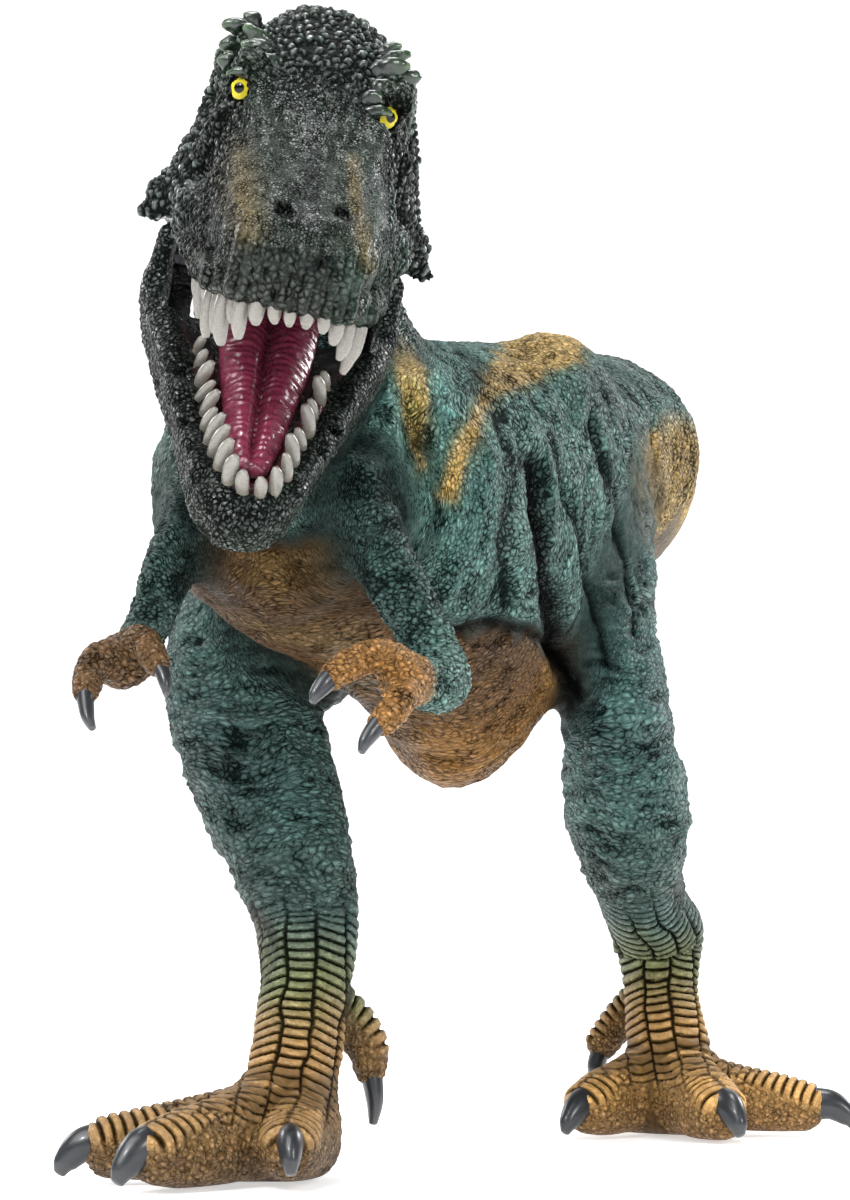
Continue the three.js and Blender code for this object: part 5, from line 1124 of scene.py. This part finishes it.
# palate with cross ridges
PALATE = [[6, 0, 8, 6.6, 3, 3], [16, 0, 7.6, 6.6, 3, 3], [27, 0, 7, 5.8, 2.2, 2.4], [35, 0, 6.6, 4, 1.4, 2]]
def pal_disp(V, N, K):
    q_ = head_inv(V)
    wv = np.sin(q_[:, 0] * 2 * math.pi / 2.1 + 1.4 * np.abs(q_[:, 1]) * 0.5 + vnoise(q_, 3, 95))
    # painted shade in the troughs between the ridges, returned as cav
    return 0.22 * wv + 0.08 * vnoise(q_, 1, 96), 0.45 * sstep(-0.2, -1, wv)
hard("palate_ridged", [rod(PALATE, (0, 0, 1), (1, 1), 64, 30, head)], "figure", "mouth", M_MOUTH, "palate", disp=pal_disp)

# claws: curved, deeper than wide
def claw_parts(name):
    out = []
    for d, c in DIGIT[name]:
        c = np.array(c, float)
        back = c[0, :3] + (c[0, :3] - c[1, :3]) * 0.25
        st = [[*back, c[0, 3] * 0.9]] + [list(r) for r in c]
        st = [[*r[:3], r[3] * 0.80, r[3] * 1.04, r[3] * 0.92] for r in st]
        dd = c[-1, :3] - c[0, :3]; dd /= np.linalg.norm(dd)
        out.append(rod(st, (0, -1, 0) if abs(dd[2]) > 0.8 else (0, 0, 1), (c[0, 3] * 0.4, 0.35), 28, 9))
    return out
def claw_disp(V, N, K):
    g_ = vnoise(V, 0.8, 101)
    # painted shade at the base of each claw, where it meets the toe, returned as cav
    return 0.05 * g_ * (1 - K), 0.5 * sstep(0.22, 0.08, K)
for nm in ("right_leg", "left_leg", "right_arm", "left_arm"):
    hard("claws_" + nm, claw_parts(nm), "figure", "skin", M_CLAW, disp=claw_disp)

# brow scutes: leaf-shaped plates standing out over each eye
# base, tip, half width, half thickness, how far it arches
SCUTES = [((2.4, -7.8, 28.2), (2.6, -11.7, 32.0), 1.05, .55, .35), ((5.0, -7.2, 27.6), (5.0, -11.7, 29.6), 1.1, .55, .7), ((0.5, -10.6, 31.2), (1.0, -14.6, 30.9), .85, .6, .2),
          ((-1.0, -10.0, 31.8), (-1.0, -11.8, 33.0), .9, .8, .1), ((1.5, -11.8, 28.6), (2.0, -14.3, 28.4), .9, .6, .2), ((3.6, -11.6, 26.6), (3.8, -14.1, 26.8), .85, .6, .1),
          ((7.8, -6.6, 26.6), (7.2, -9.4, 28.4), 1.05, .6, .5), ((8.6, -8.2, 25.9), (7.8, -11.4, 27.5), .85, .55, .5), ((10.2, -7.0, 24.6), (9.6, -8.6, 26.2), .95, .6, .3), ((9.3, -9.2, 26.0), (8.8, -12.6, 25.7), .5, .5, .6),
          ((1.6, 6.6, 31.4), (1.6, 8.9, 34.0), .85, .55, .2), ((3.0, 6.8, 30.4), (2.6, 10.5, 33.2), .8, .5, .35), ((5.0, 5.9, 28.6), (4.6, 10.6, 31.8), 1.25, .6, .5), ((4.2, 8.8, 28.6), (3.6, 12.5, 30.8), .9, .6, .2),
          ((8.2, 6.4, 27.0), (7.4, 9.2, 28.4), 1.15, .6, .5), ((9.6, 5.6, 25.6), (9.0, 8.0, 27.0), 1.05, .6, .4), ((10.7, 5.4, 24.5), (10.1, 9.2, 25.7), .68, .55, .45), ((2.6, 10.6, 26.2), (2.4, 12.7, 26.8), 1.0, .6, .1),
          ((0.4, 11.0, 22.8), (0.2, 13.0, 23.0), 0.9, .6, .1)]
def scute_parts():
    out = []
    for base_, tip_, wd, th, arch in SCUTES:
        a_, b_ = np.array(base_, float), np.array(tip_, float)
        b_ = a_ + (b_ - a_) * 0.9; wd, th = wd * 1.4, th * 1.5
        d_ = b_ - a_; L2 = np.linalg.norm(d_); ax_ = d_ / L2
        wide = unit(np.cross(ax_, (1.0, 0, -0.25)))             # the plates face forward
        if wide[2] < 0:
            wide = -wide
        st = []
        for k, w in ((-0.22, 0.7), (0.0, 0.88), (0.25, 1.0), (0.5, 0.98), (0.72, 0.78), (0.88, 0.56), (1.0, 0.26)):
            p_ = a_ + d_ * k + wide * arch * 4 * max(k, 0) * (1 - k) + np.array([0.5, 0, 0]) * k * (1 - k)
            st.append([*p_, th * (0.45 + 0.55 * w), wd * w, wd * w])
        out.append(rod(st, wide, (0.3, 0.12), 32, 8, head))
    return out
def scute_disp(V, N, K):
    g_ = vnoise(V, 0.9, 111)
    # painted shade at the base of each plate and in its dips, returned as cav
    return 0.22 * g_, np.clip(0.8 * sstep(0.5, 0.1, K) + 0.5 * sstep(0.2, -0.4, g_), 0, 1)
hard("brow_scutes", scute_parts(), "figure", "head_skin", M_SCUTE, disp=scute_disp)

# eyes
def eye_material():
    mat = bpy.data.materials.new("glossy_eye"); nt, new = nodes(mat)
    out = new("ShaderNodeOutputMaterial"); bs = new("ShaderNodeBsdfPrincipled"); link(nt, bs.outputs[0], out.inputs[0])
    co = new("ShaderNodeTexCoord").outputs["Object"]
    k = attr(nt, "k"); n1 = noise(nt, co, 2600, 3)
    kk = math_(nt, "ADD", k, maprange(nt, n1, 0.2, 0.8, -0.025, 0.025))
    r = new("ShaderNodeValToRGB"); link(nt, kk, r.inputs[0])
    st = [(0.0, (8, 8, 8)), (0.215, (10, 10, 8)), (0.25, (196, 182, 30)), (0.50, (228, 212, 74)), (0.62, (150, 128, 26)), (0.70, (26, 24, 16)), (1.0, (14, 14, 12))]
    while len(r.color_ramp.elements) < len(st):
        r.color_ramp.elements.new(0.5)
    for e, (p_, c_) in zip(r.color_ramp.elements, st):
        e.position = p_; e.color = (*[float(x) for x in lin(c_)], 1)
    link(nt, r.outputs[0], bs.inputs["Base Color"])
    link(nt, maprange(nt, n1, 0.3, 0.7, 0.07, 0.14), bs.inputs["Roughness"])
    bs.inputs["Coat Weight"].default_value = 0.1; bs.inputs["Coat Roughness"].default_value = 0.04; bs.inputs["Specular IOR Level"].default_value = 0.25
    bp = new("ShaderNodeBump"); bp.inputs["Strength"].default_value = 0.08; bp.inputs["Distance"].default_value = 0.00005
    link(nt, n1, bp.inputs["Height"]); link(nt, bp.outputs[0], bs.inputs["Normal"])
    return mat
M_EYE = eye_material()
for (eye_c, ax, eye_r), nm in zip(EYES, ("left_eye", "right_eye")):
    nr, sg = 60, 64
    th = np.linspace(0, math.pi, nr)[1:-1]
    a_ = np.cross(ax, (0, 0, 1)); a_ /= np.linalg.norm(a_); b_ = np.cross(a_, ax)
    ph = np.linspace(0, 2 * math.pi, sg, endpoint=False)
    rows = [ax] + [ax * math.cos(t_) + math.sin(t_) * (np.cos(p_) * a_ + np.sin(p_) * b_) for t_ in th for p_ in ph] + [-ax]
    V = np.array(rows)
    ang = np.arccos(np.clip(V @ ax, -1, 1))
    V = V * (1 + 0.07 * np.exp(-(ang / 0.55) ** 2))[:, None]
    V = head(eye_c + eye_r * V)
    n_ = nr - 2; a = np.arange(sg); b = (a + 1) % sg
    Q = np.vstack([np.stack([1 + i * sg + a, 1 + i * sg + b, 1 + (i + 1) * sg + b, 1 + (i + 1) * sg + a], 1) for i in range(n_ - 1)])
    T = np.vstack([np.stack([np.zeros(sg, int), 1 + b, 1 + a], 1), np.stack([np.full(sg, len(V) - 1), 1 + (n_ - 1) * sg + a, 1 + (n_ - 1) * sg + b], 1)])
    me = mesh_np("eyeball", to_m(V), Q, T)
    bm = bmesh.new(); bm.from_mesh(me); bmesh.ops.recalc_face_normals(bm, faces=bm.faces); bm.to_mesh(me); bm.free()
    me.polygons.foreach_set("use_smooth", np.ones(len(me.polygons), bool))
    put(me, "k", ang / 1.35)
    piece(nm + "_ball", me, "figure", "eye", M_EYE, nm)

# ------------------------------------------------------------------ hinge pin keeps its CAD solid
def metal(name):
    mat = bpy.data.materials.new(name); nt, new = nodes(mat)
    out = new("ShaderNodeOutputMaterial"); bs = new("ShaderNodeBsdfPrincipled"); link(nt, bs.outputs[0], out.inputs[0])
    co = new("ShaderNodeTexCoord").outputs["Object"]
    n1 = noise(nt, co, 1500, 4)
    link(nt, mixc(nt, (0.05, 0.05, 0.055), (0.12, 0.12, 0.125), n1), bs.inputs["Base Color"])
    link(nt, maprange(nt, n1, 0.3, 0.7, 0.28, 0.42), bs.inputs["Roughness"]); bs.inputs["Metallic"].default_value = 1.0
    bp = new("ShaderNodeBump"); bp.inputs["Strength"].default_value = 0.2; bp.inputs["Distance"].default_value = 0.00005
    link(nt, n1, bp.inputs["Height"]); link(nt, bp.outputs[0], bs.inputs["Normal"])
    return mat
pin_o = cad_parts["jaw_hinge_pin"]
pm = metal("pin_steel")
for sl_ in pin_o.material_slots:
    sl_.material = pm

# ------------------------------------------------------------------ floor, light, camera
def floor_material():
    mat = bpy.data.materials.new("studio_floor"); nt, new = nodes(mat)
    out = new("ShaderNodeOutputMaterial"); bs = new("ShaderNodeBsdfPrincipled"); link(nt, bs.outputs[0], out.inputs[0])
    bs.inputs["Base Color"].default_value = (0.86, 0.86, 0.86, 1); bs.inputs["Roughness"].default_value = 0.7; bs.inputs["Specular IOR Level"].default_value = 0.2
    bs.inputs["Emission Color"].default_value = (1, 1, 1, 1); bs.inputs["Emission Strength"].default_value = 0.55
    return mat
ys = [-3.0, 0.9] + [0.9 + 0.8 * math.sin(a) for a in np.linspace(0.08, math.pi / 2, 16)] + [1.7]
zs = [-0.0003, -0.0003] + [0.8 - 0.8 * math.cos(a) for a in np.linspace(0.08, math.pi / 2, 16)] + [3.2]
V = np.array([[x, y, z] for y, z in zip(ys, zs) for x in (-3.0, 3.0)])
Q = np.array([[2 * i, 2 * i + 1, 2 * i + 3, 2 * i + 2] for i in range(len(ys) - 1)])
me = mesh_np("floor_m", V, Q); me.materials.append(floor_material())
floor = bpy.data.objects.new("studio_floor", me); bpy.context.collection.objects.link(floor)

def area(name, loc, target, size, power, color=(1, 1, 1)):
    l = bpy.data.lights.new(name, "AREA"); l.shape = "RECTANGLE"; l.size, l.size_y = size; l.energy = power; l.color = color
    o = bpy.data.objects.new(name, l); o.location = loc
    o.rotation_euler = (Vector(target) - Vector(loc)).to_track_quat("-Z", "Y").to_euler()
    bpy.context.collection.objects.link(o)
    return o
area("key", (-0.40, -0.70, 0.80), (0, -0.05, 0.08), (0.85, 0.85), 11.5)
area("top", (0.05, 0.0, 0.95), (0, 0, 0.05), (0.4, 0.4), 6.0)
area("fill", (0.60, -0.75, 0.35), (0, 0, 0.08), (0.2, 0.2), 2.7)
area("spark", (-0.30, -0.85, 0.55), (0, -0.1, 0.1), (0.07, 0.07), 3.0)
area("rim_left", (-0.65, 0.35, 0.45), (0, 0, 0.1), (0.25, 0.25), 2.0)
area("rim_right", (0.65, 0.45, 0.45), (0, 0, 0.1), (0.25, 0.25), 3.0)
w = bpy.data.worlds.new("studio"); bpy.context.scene.world = w; w.use_nodes = True
w.node_tree.nodes["Background"].inputs[0].default_value = (1, 1, 1, 1); w.node_tree.nodes["Background"].inputs[1].default_value = 0.14
scene = bpy.context.scene
scene.view_settings.view_transform = "Standard"

cam = bpy.data.cameras.new("camera"); cam.sensor_fit = "VERTICAL"; cam.sensor_width = 25.5; cam.sensor_height = 36.0
cam.lens = 90.2; cam.clip_start = 0.02; cam.clip_end = 20
co = bpy.data.objects.new("camera", cam); bpy.context.collection.objects.link(co)
co.location = (-0.009595, -0.472435, 0.035435)
co.rotation_euler = (math.radians(90 + 5.65), 0, 0)
scene.camera = co

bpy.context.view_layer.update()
print("scene built in", round(time.time() - T_START, 1))
